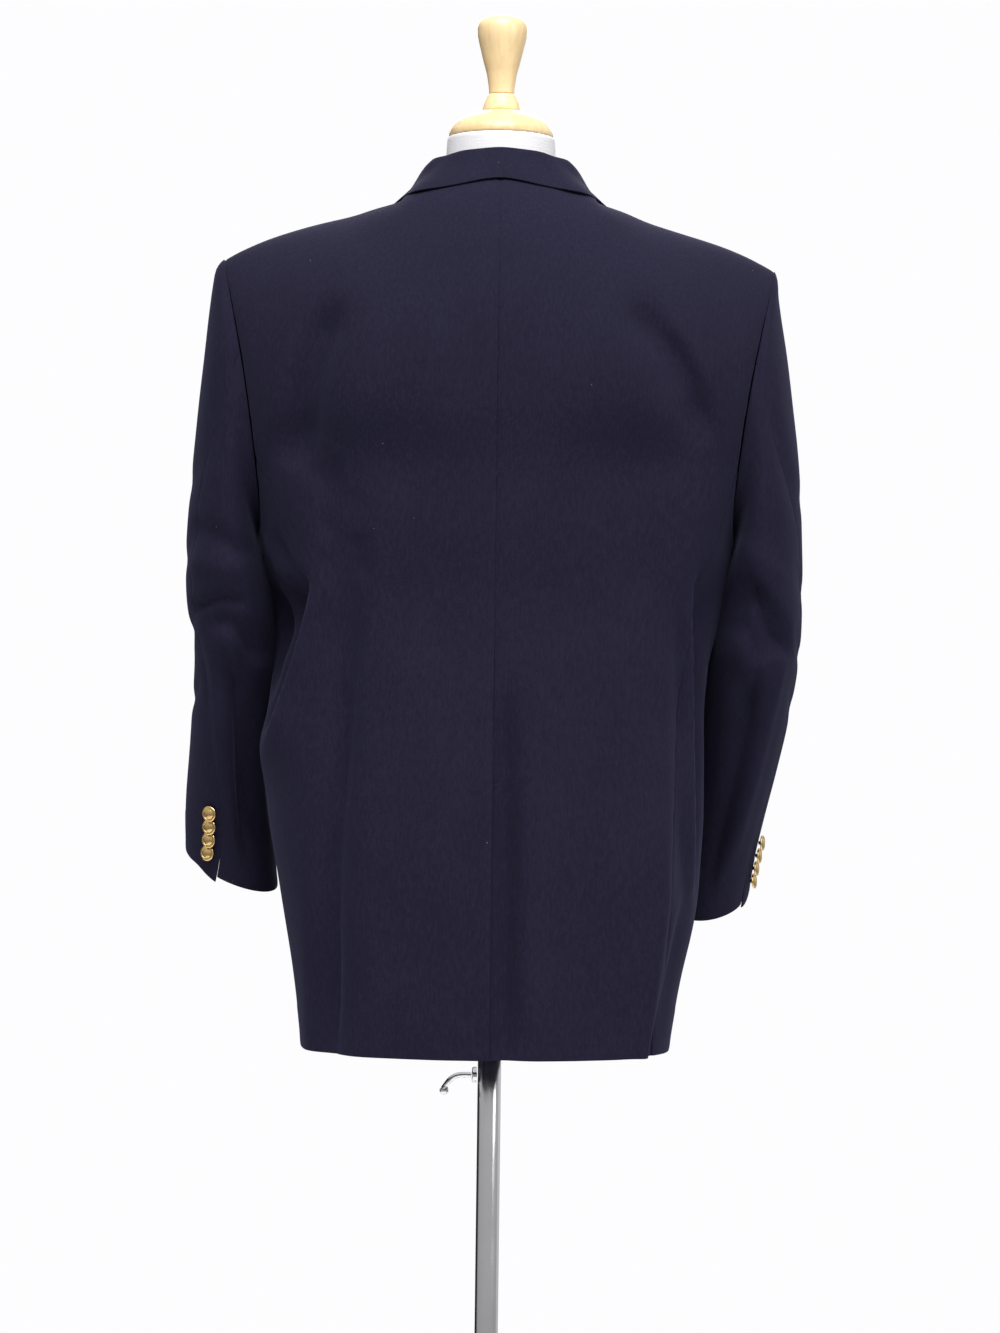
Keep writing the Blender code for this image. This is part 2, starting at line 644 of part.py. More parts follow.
def inset(rows, gap):
    """Draw a grid's outer points in along the cloth by half the seam's gap; gap may vary by edge."""
    rows = rows.copy()
    for edge, inner, share in ((rows[0], rows[1], gap[0]), (rows[-1], rows[-2], gap[1]),
                               (rows[:, 0], rows[:, 1], gap[2]), (rows[:, -1], rows[:, -2], gap[3])):
        way = inner - edge
        length = np.linalg.norm(way, axis=1, keepdims=True)
        edge += way / length * (np.asarray(share).reshape(-1, 1) / 2)
    return rows


def cloth(name, rows, flip, parts, gap=(SEAM_GAP,) * 4, thickness=WALL):
    """A cloth piece: a grid of points along the wall's middle, given its thickness."""
    rows = inset(np.array(rows), gap)
    count = rows.shape[1]
    mesh = bpy.data.meshes.new(name)
    faces = []
    for r in range(rows.shape[0] - 1):
        for c in range(count - 1):
            quad = (r * count + c, r * count + c + 1, (r + 1) * count + c + 1, (r + 1) * count + c)
            faces.append(quad[::-1] if flip else quad)
    mesh.from_pydata([tuple(point) for point in rows.reshape(-1, 3)], [], faces)
    mesh.shade_smooth()
    made = add_object(name, mesh, "coat", parts)
    wall = made.modifiers.new("wall", "SOLIDIFY")
    wall.thickness = thickness
    wall.offset = 0.0
    return made


def turned(name, profile, finish, parts, steps=24):
    """A turned piece from radius and height pairs, run from top to bottom."""
    mesh = bpy.data.meshes.new(name)
    mesh.from_pydata([(radius, 0.0, height) for radius, height in profile],
                     [(k, k + 1) for k in range(len(profile) - 1)], [])
    made = add_object(name, mesh, finish, parts)
    lathe = made.modifiers.new("lathe", "SCREW")
    lathe.axis = "Z"
    lathe.steps = steps
    lathe.render_steps = steps
    lathe.use_merge_vertices = True
    lathe.merge_threshold = 0.0001
    lathe.use_smooth_shade = True
    return made


# ---------------------------------------------------------------- the coat


def top_columns():
    """The back's columns as shares of the shoulder's reach: round the neck, then along the shoulder."""
    neck = [NECK_X * math.sin(math.pi / 2 * k / NECK_COLUMNS) for k in range(NECK_COLUMNS)]
    shoulder = [blend(NECK_X, TIP_X, k / SHOULDER_COLUMNS) for k in range(SHOULDER_COLUMNS + 1)]
    return [x / TIP_X for x in neck + shoulder]


def under_arm(degrees):
    """The body stops a little short of the sleeve, more so under the arm, where the two turn sharply."""
    return ARMHOLE_GAP + UNDER_ARM_GAP * max(0.0, -math.cos(math.radians(degrees))) ** 2


def build_back(side, parts):
    level = join_level(side, BACK_JOIN)
    rows = []
    for r in range(LOWER_ROWS):
        height = blend(HEM, level, r / LOWER_ROWS)
        seam = back_seam(side, height)
        start = 0.0
        if side < 0:
            reach = turn_at(1, VENT_UNDERLAP, height, True)
            start = -reach * ease((VENT_TOP - height) / 0.02)
        row = []
        for across in top_columns():
            turn = blend(start, seam, across)
            point = lower_coat(side, turn, height)
            row.append(point + outward(side, point, height) * vent_lift(side, point[0], height))
        rows.append(row)
    steps = round(BACK_JOIN / STATION)
    for k in range(steps + 1):
        degrees = BACK_JOIN - k * STATION
        rows.append([upper_back(side, across, degrees) for across in top_columns()])
    edge = [SEAM_GAP] * LOWER_ROWS + [under_arm(BACK_JOIN - k * STATION) for k in range(steps + 1)]
    cloth("back_" + side_name(side), rows, side > 0, parts, (0.0, SEAM_GAP, SEAM_GAP, edge))


def build_side(side, parts):
    rows = []
    places = [BACK_JOIN + k * STATION for k in range(SIDE_COLUMNS + 1)]
    for r in range(LOWER_ROWS + 1):
        up = r / LOWER_ROWS
        row = []
        for c, degrees in enumerate(places):
            across = c / SIDE_COLUMNS
            foot = hem_height(blend(back_seam(side, HEM), front_seam(HEM), across))
            top = armhole(side, degrees)
            height = blend(foot, top[2], up)
            turn = blend(back_seam(side, height), front_seam(height), across)
            crown = blend(back_seam(side, top[2]), front_seam(top[2]), across)
            pull = top - lower_coat(side, crown, top[2])
            row.append(lower_coat(side, turn, height) + pull * ease((up - 0.6) / 0.4))
        rows.append(row)
    gap = (0.0, [under_arm(degrees) for degrees in places], SEAM_GAP, SEAM_GAP)
    cloth("side_" + side_name(side), rows, side > 0, parts, gap)


def build_front(side, parts):
    shares = [c / SHOULDER_COLUMNS for c in range(SHOULDER_COLUMNS + 1)]
    steps = round((360 - FRONT_JOIN) / STATION)
    heights = [r / LOWER_ROWS for r in range(LOWER_ROWS)] + [1 + k / steps for k in range(steps + 1)]
    rows = [[front_point(side, across, up) for across in shares] for up in heights]
    edge = [SEAM_GAP] * LOWER_ROWS + [under_arm(FRONT_JOIN + k * STATION) for k in range(steps + 1)]
    cloth("front_" + side_name(side), rows, side > 0, parts, (0.0, SEAM_GAP, edge, 0.0))


def build_lapel(side, parts):
    start = ROLL_START if side > 0 else ROLL_CLEAR
    rows = []
    for r in range(LAPEL_ROWS + 1):
        roll_z = blend(start, GORGE_ROLL_Z, r / LAPEL_ROWS)
        tip_z = blend(start, GORGE_TIP_Z, r / LAPEL_ROWS)
        roll_x, tip_x = roll_line(side, roll_z), roll_line(side, tip_z) + LAPEL.at("reach", tip_z)
        row = []
        for c in range(LAPEL_COLUMNS + 1):
            share = c / LAPEL_COLUMNS
            row.append(on_front(side, blend(roll_x, tip_x, share), blend(roll_z, tip_z, share),
                                CHEST_LAYER))
        rows.append(row)
    cloth("lapel_" + side_name(side), rows, side < 0, parts)


def roll_line(side, height):
    """x of the front's turned edge, up to the neck."""
    level = join_level(side, FRONT_JOIN)
    if height <= level:
        return EDGE.at("x", height)
    share = (height - level) / (SHOULDER.at("height", NECK_X) - level)
    return blend(EDGE.at("x", level), NECK_X, share)


def collar_section(side, place):
    """Across the collar: up the stand, over the roll and down the fall to its edge."""
    roll = np.array([COLLAR.at(name, place) for name in ("roll_x", "roll_y", "roll_z")])
    roll[0] *= side
    edge = on_shoulder(side, COLLAR.at("edge_x", place), COLLAR.at("edge_turn", place), COLLAR_LAYER)
    foot = collar_foot(side, place)
    out = edge - roll
    out[2] = 0.0
    out = out / np.linalg.norm(out)
    inner = roll - out * COLLAR_ROLL - (0, 0, COLLAR_ROLL)
    outer = roll + out * COLLAR_ROLL - (0, 0, COLLAR_ROLL)
    hollow = out * COLLAR.at("hollow", place) + np.array((0, 0, 0.5 * COLLAR.at("hollow", place)))
    points = [foot, (foot + inner) / 2, inner, roll, outer]
    for share in (0.33, 0.67):
        points.append(blend(outer, edge, share) - hollow * math.sin(math.pi * share))
    points.append(edge)
    return points


def collar_foot(side, place):
    """Where the stand rises from the neckline, just above the coat's edge."""
    if place < COLLAR_SHOULDER:
        x = NECK_X * math.sin(math.pi / 2 * place / COLLAR_SHOULDER)
        point = neckline(side, x)
        way = np.array((point[0], point[1], 0.0))
        return point - way / np.linalg.norm(way) * STAND_INSET
    share = (place - COLLAR_SHOULDER) / (1 - COLLAR_SHOULDER)
    level = blend(SHOULDER.at("height", NECK_X), GORGE_ROLL_Z + 0.002, share)
    point = front_point(side, 1.0, edge_up(side, level))
    return point + np.array((-side * STAND_INSET, 0.0, 0.0))


def edge_up(side, height):
    """How far up the front's edge a height is."""
    low, high = 1.0, 2.0
    for _ in range(30):
        middle = (low + high) / 2
        if front_point(side, 1.0, middle)[2] < height:
            low = middle
        else:
            high = middle
    return low


def build_collar(parts):
    places = [COLLAR_SHOULDER * k / NECK_COLUMNS for k in range(NECK_COLUMNS + 1)]
    places += [blend(COLLAR_SHOULDER, 1, (k + 1) / COLLAR_GORGE_ROWS) for k in range(COLLAR_GORGE_ROWS)]
    rows = [collar_section(-1, place) for place in places[:0:-1]]
    rows += [collar_section(1, place) for place in places]
    cloth("collar", rows, False, parts, thickness=COLLAR_WALL)


def build_sleeve(side, parts):
    table = SLEEVES[side]
    last = int(table.data[-1, 0])
    spans = {"top": (FORE_SEAM - 360, HIND_SEAM), "under": (HIND_SEAM, FORE_SEAM)}
    for part, (start, end) in spans.items():
        columns = round((end - start) / STATION)
        rows = []
        for row in range(last + 1):
            hind, fore = table.at("hind", row), table.at("fore", row)
            first, final = (fore - 360, hind) if part == "top" else (hind, fore)
            points = []
            for c in range(columns + 1):
                degrees = blend(first, final, c / columns)
                point = sleeve_point(side, row, degrees)
                if row == 0:
                    point = point + np.array((side * SEAM_GAP / 2, 0.0, 0.0))
                if row == last and part == "top":
                    point[2] -= CUFF_TIP[side] * ease(1 - (hind - degrees) / CUFF_TIP_TURN)
                points.append(point)
            rows.append(points)
        cloth(part + "_sleeve_" + side_name(side), rows, side > 0, parts,
              (0.0, 0.0, SLEEVE_GAP, SLEEVE_GAP))


def build_pockets(parts):
    for side in (1, -1):
        rows = []
        for height in FLAP_HEIGHTS:
            row = []
            for c in range(1, 7):
                level = height - FLAP_SLANT * (6 - c)
                row.append(lower_front(side, c / SHOULDER_COLUMNS, level, LAYER))
            rows.append(row)
        cloth("flap_" + side_name(side), rows, side > 0, parts)
    rows = []
    for lift in WELT_ROWS:
        rows.append([on_front(1, blend(*WELT_X, c / 4), WELT_Z + lift - WELT_SLANT * c / 4, CHEST_LAYER)
                     for c in range(5)])
    cloth("welt", rows, True, parts)


# ---------------------------------------------------------------- buttons


def button(name, radius, place, out, up, tilt, parts):
    """A domed button on its shank, its back along `out` from the cloth and leaning over downward."""
    edge = SHANK + BUTTON_RIM
    profile = [(0.0, edge + BUTTON_DOME), (0.45 * radius, edge + 0.85 * BUTTON_DOME),
               (0.80 * radius, edge + 0.40 * BUTTON_DOME), (radius, edge), (radius, SHANK),
               (SHANK_RADIUS, SHANK), (SHANK_RADIUS, 0.0), (0.0, 0.0)]
    made = turned(name, profile, "brass", parts, steps=16)
    out = out / np.linalg.norm(out)
    across = np.cross(up, out)
    across = across / np.linalg.norm(across)
    up = np.cross(out, across)
    lean = math.radians(tilt)
    axis = out * math.cos(lean) + up * math.sin(lean)
    top = np.cross(axis, across)
    made.matrix_world = Matrix.Translation(place) @ Matrix((across, top, axis)).transposed().to_4x4()
    return made


def build_buttons(parts):
    seat = WALL / 2 + GAP
    for k, height in enumerate(FRONT_BUTTON_HEIGHTS):
        point = lower_coat(1, 1.0, height, LAYER + seat)
        button(f"front_button_{k + 1}", FRONT_BUTTON_RADIUS, point, np.array((0, -1.0, 0)),
               np.array((0, 0, 1.0)), 0, parts)
    for side in (1, -1):
        vent = SLEEVES[side].data[-1, 0]
        lowest = sleeve_point(side, vent, SLEEVES[side].at("hind", vent))[2] + BUTTON_RISE
        for k in range(4):
            row = row_at(side, lowest + BUTTON_PITCH * (3 - k))
            degrees = SLEEVES[side].at("hind", row) - BUTTON_TURN
            base = sleeve_point(side, row, degrees)
            up = sleeve_point(side, row - 0.2, degrees) - base
            out = np.cross(sleeve_point(side, row, degrees + side * 4) - base, up)
            out = out / np.linalg.norm(out)
            lean = math.radians(BUTTON_TILT)
            clear = seat + GAP + SHANK_RADIUS * math.sin(lean)
            place = base + out * clear
            button(f"cuff_button_{side_name(side)}_{k + 1}", BUTTON_RADIUS, place, out, up,
                   BUTTON_TILT, parts)


def row_at(side, height):
    """Sleeve row where the line of the buttons has this height."""
    low, high = 8.0, 14.0
    for _ in range(30):
        middle = (low + high) / 2
        if sleeve_point(side, middle, SLEEVES[side].at("hind", middle) - BUTTON_TURN)[2] > height:
            low = middle
        else:
            high = middle
    return low


# ---------------------------------------------------------------- the dress form and its stand


def build_torso(parts):
    """The form's body, a loft of its sections closed at hip and neck."""
    count = 28
    heights = np.unique(np.concatenate((FORM.data[:, 0], np.linspace(FORM_BOTTOM, NECK_BOTTOM, 14))))
    work = bmesh.new()
    rings = []
    for height in heights:
        half, back, front, square = (FORM.at(name, height) for name in FORM.names[1:])
        ring = []
        for k in range(count):
            across, along = math.sin(2 * math.pi * k / count), math.cos(2 * math.pi * k / count)
            x = half * math.copysign(abs(across) ** (2 / square), across)
            y = (back if along > 0 else front) * math.copysign(abs(along) ** (2 / square), along)
            ring.append(work.verts.new((x, y, height)))
        rings.append(ring)
    for low, high in zip(rings, rings[1:]):
        for k in range(count):
            after = (k + 1) % count
            work.faces.new((low[after], low[k], high[k], high[after]))
    work.faces.new(rings[0])
    work.faces.new(rings[-1][::-1])
    bmesh.ops.recalc_face_normals(work, faces=work.faces)
    mesh = bpy.data.meshes.new("torso")
    work.to_mesh(mesh)
    work.free()
    mesh.shade_smooth()
    mesh.set_sharp_from_angle(angle=math.radians(50))
    add_object("torso", mesh, "form", parts)


def build_stand(parts):
    neck = 0.0525
    turned("neck", ((0, CAP_BOTTOM - GAP), (neck - 0.002, CAP_BOTTOM - GAP), (neck - 0.001, 1.575),
                    (neck, NECK_BOTTOM + GAP), (0, NECK_BOTTOM + GAP)), "form", parts)
    turned("neck_cap", CAP, "wood", parts)
    turned("neck_bead", BEAD, "wood", parts)
    turned("finial", FINIAL, "wood", parts)
    flange = FORM_BOTTOM - GAP
    turned("rod", ((0, flange), (0.030, flange), (0.030, flange - 0.004), (ROD_RADIUS, flange - 0.004),
                   (ROD_RADIUS, ROD_BOTTOM), (0, ROD_BOTTOM)), "steel", parts)
    bore = POLE_RADIUS - POLE_WALL
    foot = BASE_THICKNESS + GAP
    turned("pole", ((bore, foot), (bore, POLE_TOP), (POLE_RADIUS, POLE_TOP), (POLE_RADIUS, foot + 0.028),
                    (0.020, foot + 0.012), (0.026, foot), (bore, foot)), "steel", parts)
    edge = 0.002
    turned("base", ((0, BASE_THICKNESS), (BASE_RADIUS - edge, BASE_THICKNESS),
                    (BASE_RADIUS, BASE_THICKNESS - edge), (BASE_RADIUS, 0), (0, 0)), "steel", parts, 40)
    boss = turned("pole_boss", ((0, 0.0165), (0.0065, 0.0165), (0.0075, 0.0155), (0.0075, 0.0113 + GAP),
                                (0, 0.0113 + GAP)), "steel", parts, 16)
    boss.rotation_euler = (0, math.pi / 2, 0)
    boss.location = (0, 0, LEVER_Z)
    build_lever(parts)


def build_lever(parts):
    """The clamp's lever: a bent rod that swells into a ball at its end."""
    rod, ball, reach, drop = 0.0026, 0.0042, 0.0340, 0.0150
    path = [(0.0168, 0, 0, rod), (reach - 0.006, 0, -0.001, rod), (reach, 0, -0.004, rod),
            (reach + 0.005, 0, -0.008, rod)]
    for k in range(7):
        angle = math.pi * (0.18 + 0.80 * k / 6)
        path.append((reach + 0.0085, 0, -drop + ball * math.cos(angle), ball * math.sin(angle)))
    curve = bpy.data.curves.new("lever", "CURVE")
    curve.dimensions = "3D"
    curve.bevel_depth = 1.0
    curve.bevel_resolution = 2
    curve.use_fill_caps = True
    spline = curve.splines.new("POLY")
    spline.points.add(len(path) - 1)
    for point, (x, y, z, radius) in zip(spline.points, path):
        point.co = (x, y, z, 1.0)
        point.radius = radius
    made = add_object("lever", curve, "steel", parts)
    made.location = (0, 0, LEVER_Z)


def main():
    for old in list(bpy.data.objects):
        bpy.data.objects.remove(old, do_unlink=True)
    parts = collection()
    for side in (1, -1):
        build_back(side, parts)
        build_side(side, parts)
        build_front(side, parts)
        build_lapel(side, parts)
        build_sleeve(side, parts)
    build_collar(parts)
    build_pockets(parts)
    build_buttons(parts)
    build_torso(parts)
    build_stand(parts)


main()
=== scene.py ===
"""Looks for a wool sport coat on a dress form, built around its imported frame.

The coat faces -Y, its left is +X and the floor is at z 0, in metres, as in the frame. Each cloth piece
starts from the grid of points that its CAD wall was drawn with. The grids are brought together at their
seams, drawn finely along smooth curves, given their seams, turned edges and creases, and then their
thickness. Everything else is turned or lofted anew in the place of its CAD node.
"""
import math

import bmesh
import bpy
import numpy as np
from mathutils import Matrix, Vector


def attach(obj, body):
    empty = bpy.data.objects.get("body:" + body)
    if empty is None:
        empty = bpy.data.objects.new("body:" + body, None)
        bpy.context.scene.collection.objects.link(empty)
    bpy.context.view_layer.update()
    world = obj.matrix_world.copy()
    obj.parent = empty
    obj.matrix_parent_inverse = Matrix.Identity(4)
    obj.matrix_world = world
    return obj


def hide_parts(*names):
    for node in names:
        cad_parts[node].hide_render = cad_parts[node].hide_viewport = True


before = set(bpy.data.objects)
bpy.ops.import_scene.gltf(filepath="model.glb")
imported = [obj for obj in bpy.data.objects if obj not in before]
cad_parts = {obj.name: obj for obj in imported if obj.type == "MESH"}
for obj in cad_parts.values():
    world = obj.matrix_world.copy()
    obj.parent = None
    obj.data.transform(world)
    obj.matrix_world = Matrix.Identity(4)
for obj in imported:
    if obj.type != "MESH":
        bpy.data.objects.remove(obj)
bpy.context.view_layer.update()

bl_info = {
    "name": "Sport coat on a dress form",
    "version": (1, 0, 0),
    "blender": (4, 5, 0),
    "location": "View3D > Sidebar > Coat",
    "description": "Builds the looks of a wool sport coat, its dress form and stand around the packed frame",
    "category": "Add Mesh",
}

SIDES = ("left", "right")
MM = 0.001

# ---------------------------------------------------------------- the cut, in metres

WALL = 0.0018                # thickness of the CAD's cloth ...
COLLAR_WALL = 0.0016         # ... and of its collar
WALL_MATCH = 0.00004
WELD = 0.00002
SAME_POINT = 0.000002
VENT_TOP = 1.005
VENT_FADE = 0.01             # height over which the centre seam comes in above it
LAP_FADE = 0.66              # of a row, above the last that runs under
ARMHOLE_ROW = 14             # rows of back, side and front below the armhole
SEAM_REACH = 0.0075          # two edges this close at a seam are one line
ARMHOLE_REACH = 0.0140
ARMHOLE_CALM = 0.010         # creases fade out this near the armhole's seam
ARMHOLE_JOIN = {"back": 1.290, "front": 1.2443}  # height where a piece's edge passes to the armhole
BELOW_ARMHOLE = 0.05         # over this height its lower edge comes to count as far from it
EDGE_LINES = (0.0, 0.0009, 0.0020, 0.0034, 0.0052)  # extra lines of points beside every edge ...
EDGE_ROOM = 1.4              # ... which the even ones keep this much farther off
ROLL_RADIUS = 0.0019         # of a lapel's roll round the front's edge
ROLL_STEPS = 6               # that it is drawn in ...
ROLL_STEP = 30               # ... of this many degrees each
COLLAR_CLOSE = 0.0014        # the collar's edge lies this much nearer the back than its wall does
COLLAR_CLOSE_WIDTH = 0.007
SEAM_WIDTH = 0.0024          # of the line that a seam is pressed into
SLEEVE_SEAM = 0.6            # share of the depth that a sleeve's seams have
PUCKER = 0.35                # share of a seam's depth that the cloth beside it puckers by
PUCKER_WIDTH = 0.009
RIPPLES = ((0.031, 1.0), (0.0187, 2.3), (0.0523, 0.7))  # length of each of a pucker's waves, and its start
EDGE_RISE = 0.0003           # how far a turned edge or a hem stands out
EDGE_ROLL = (0.003, 0.004)   # where a turned edge is highest, and how wide it is ...
HEM_ROLL = (0.004, 0.005)    # ... and a hem's fold
HEM_DEPTH = 0.040            # of the cloth turned up inside ...
HEM_STEP = 0.003             # ... and over how much its end shows
HEAD_FULLNESS = 0.0011       # of the sleeve's head ...
HEAD_PLACE = (0.011, 0.009)  # ... where it is highest, and how wide it is ...
HEAD_FROM = (1.36, 0.10)     # ... and from what height it comes in, over how much
ROUNDING = 0.3               # of a cloth edge, as a share of its thickness

# rows and columns of each kind of piece
GRIDS = {"back": (23, 14), "side": (15, 7), "front": (25, 9), "lapel": (13, 5), "top_sleeve": (15, 14),
         "under_sleeve": (15, 12), "flap": (4, 6), "welt": (3, 5), "collar": (19, 8)}

SLEEVE_KINDS = ("top_sleeve", "under_sleeve")

# what a grid's rows and columns run along, from the first to the last
ROW_WAY = {"top_sleeve": (0, 0, -1), "under_sleeve": (0, 0, -1), "collar": (1, 0, 0)}
COLUMN_WAY = {"back": "side", "side": "back", "front": "back", "lapel": "side", "top_sleeve": "fore",
              "under_sleeve": "back", "flap": "back", "welt": "side", "collar": "round"}

# how each edge of a kind is finished: first and last row, first and last column
EDGES = {
    "back": ("hem", "seam", "vent", "seam"),
    "side": ("hem", "seam", "seam", "seam"),
    "front": ("hem", "seam", "seam", "turned"),
    "lapel": ("turned", "seam", "open", "turned"),
    "top_sleeve": ("seam", "hem", "seam", "seam"),
    "under_sleeve": ("seam", "hem", "seam", "seam"),
    "flap": ("turned", "seam", "turned", "turned"),
    "welt": ("turned", "turned", "turned", "turned"),
    "collar": ("turned", "turned", "open", "turned"),
}

# ---------------------------------------------------------------- creases
# Where: the pieces, and the way they are looked at. Then for each crease, in millimetres, the line that
# it follows, as x (or y, from a side) and height, the half width on either side of it, and how far it
# stands out (below 0, sinks in).

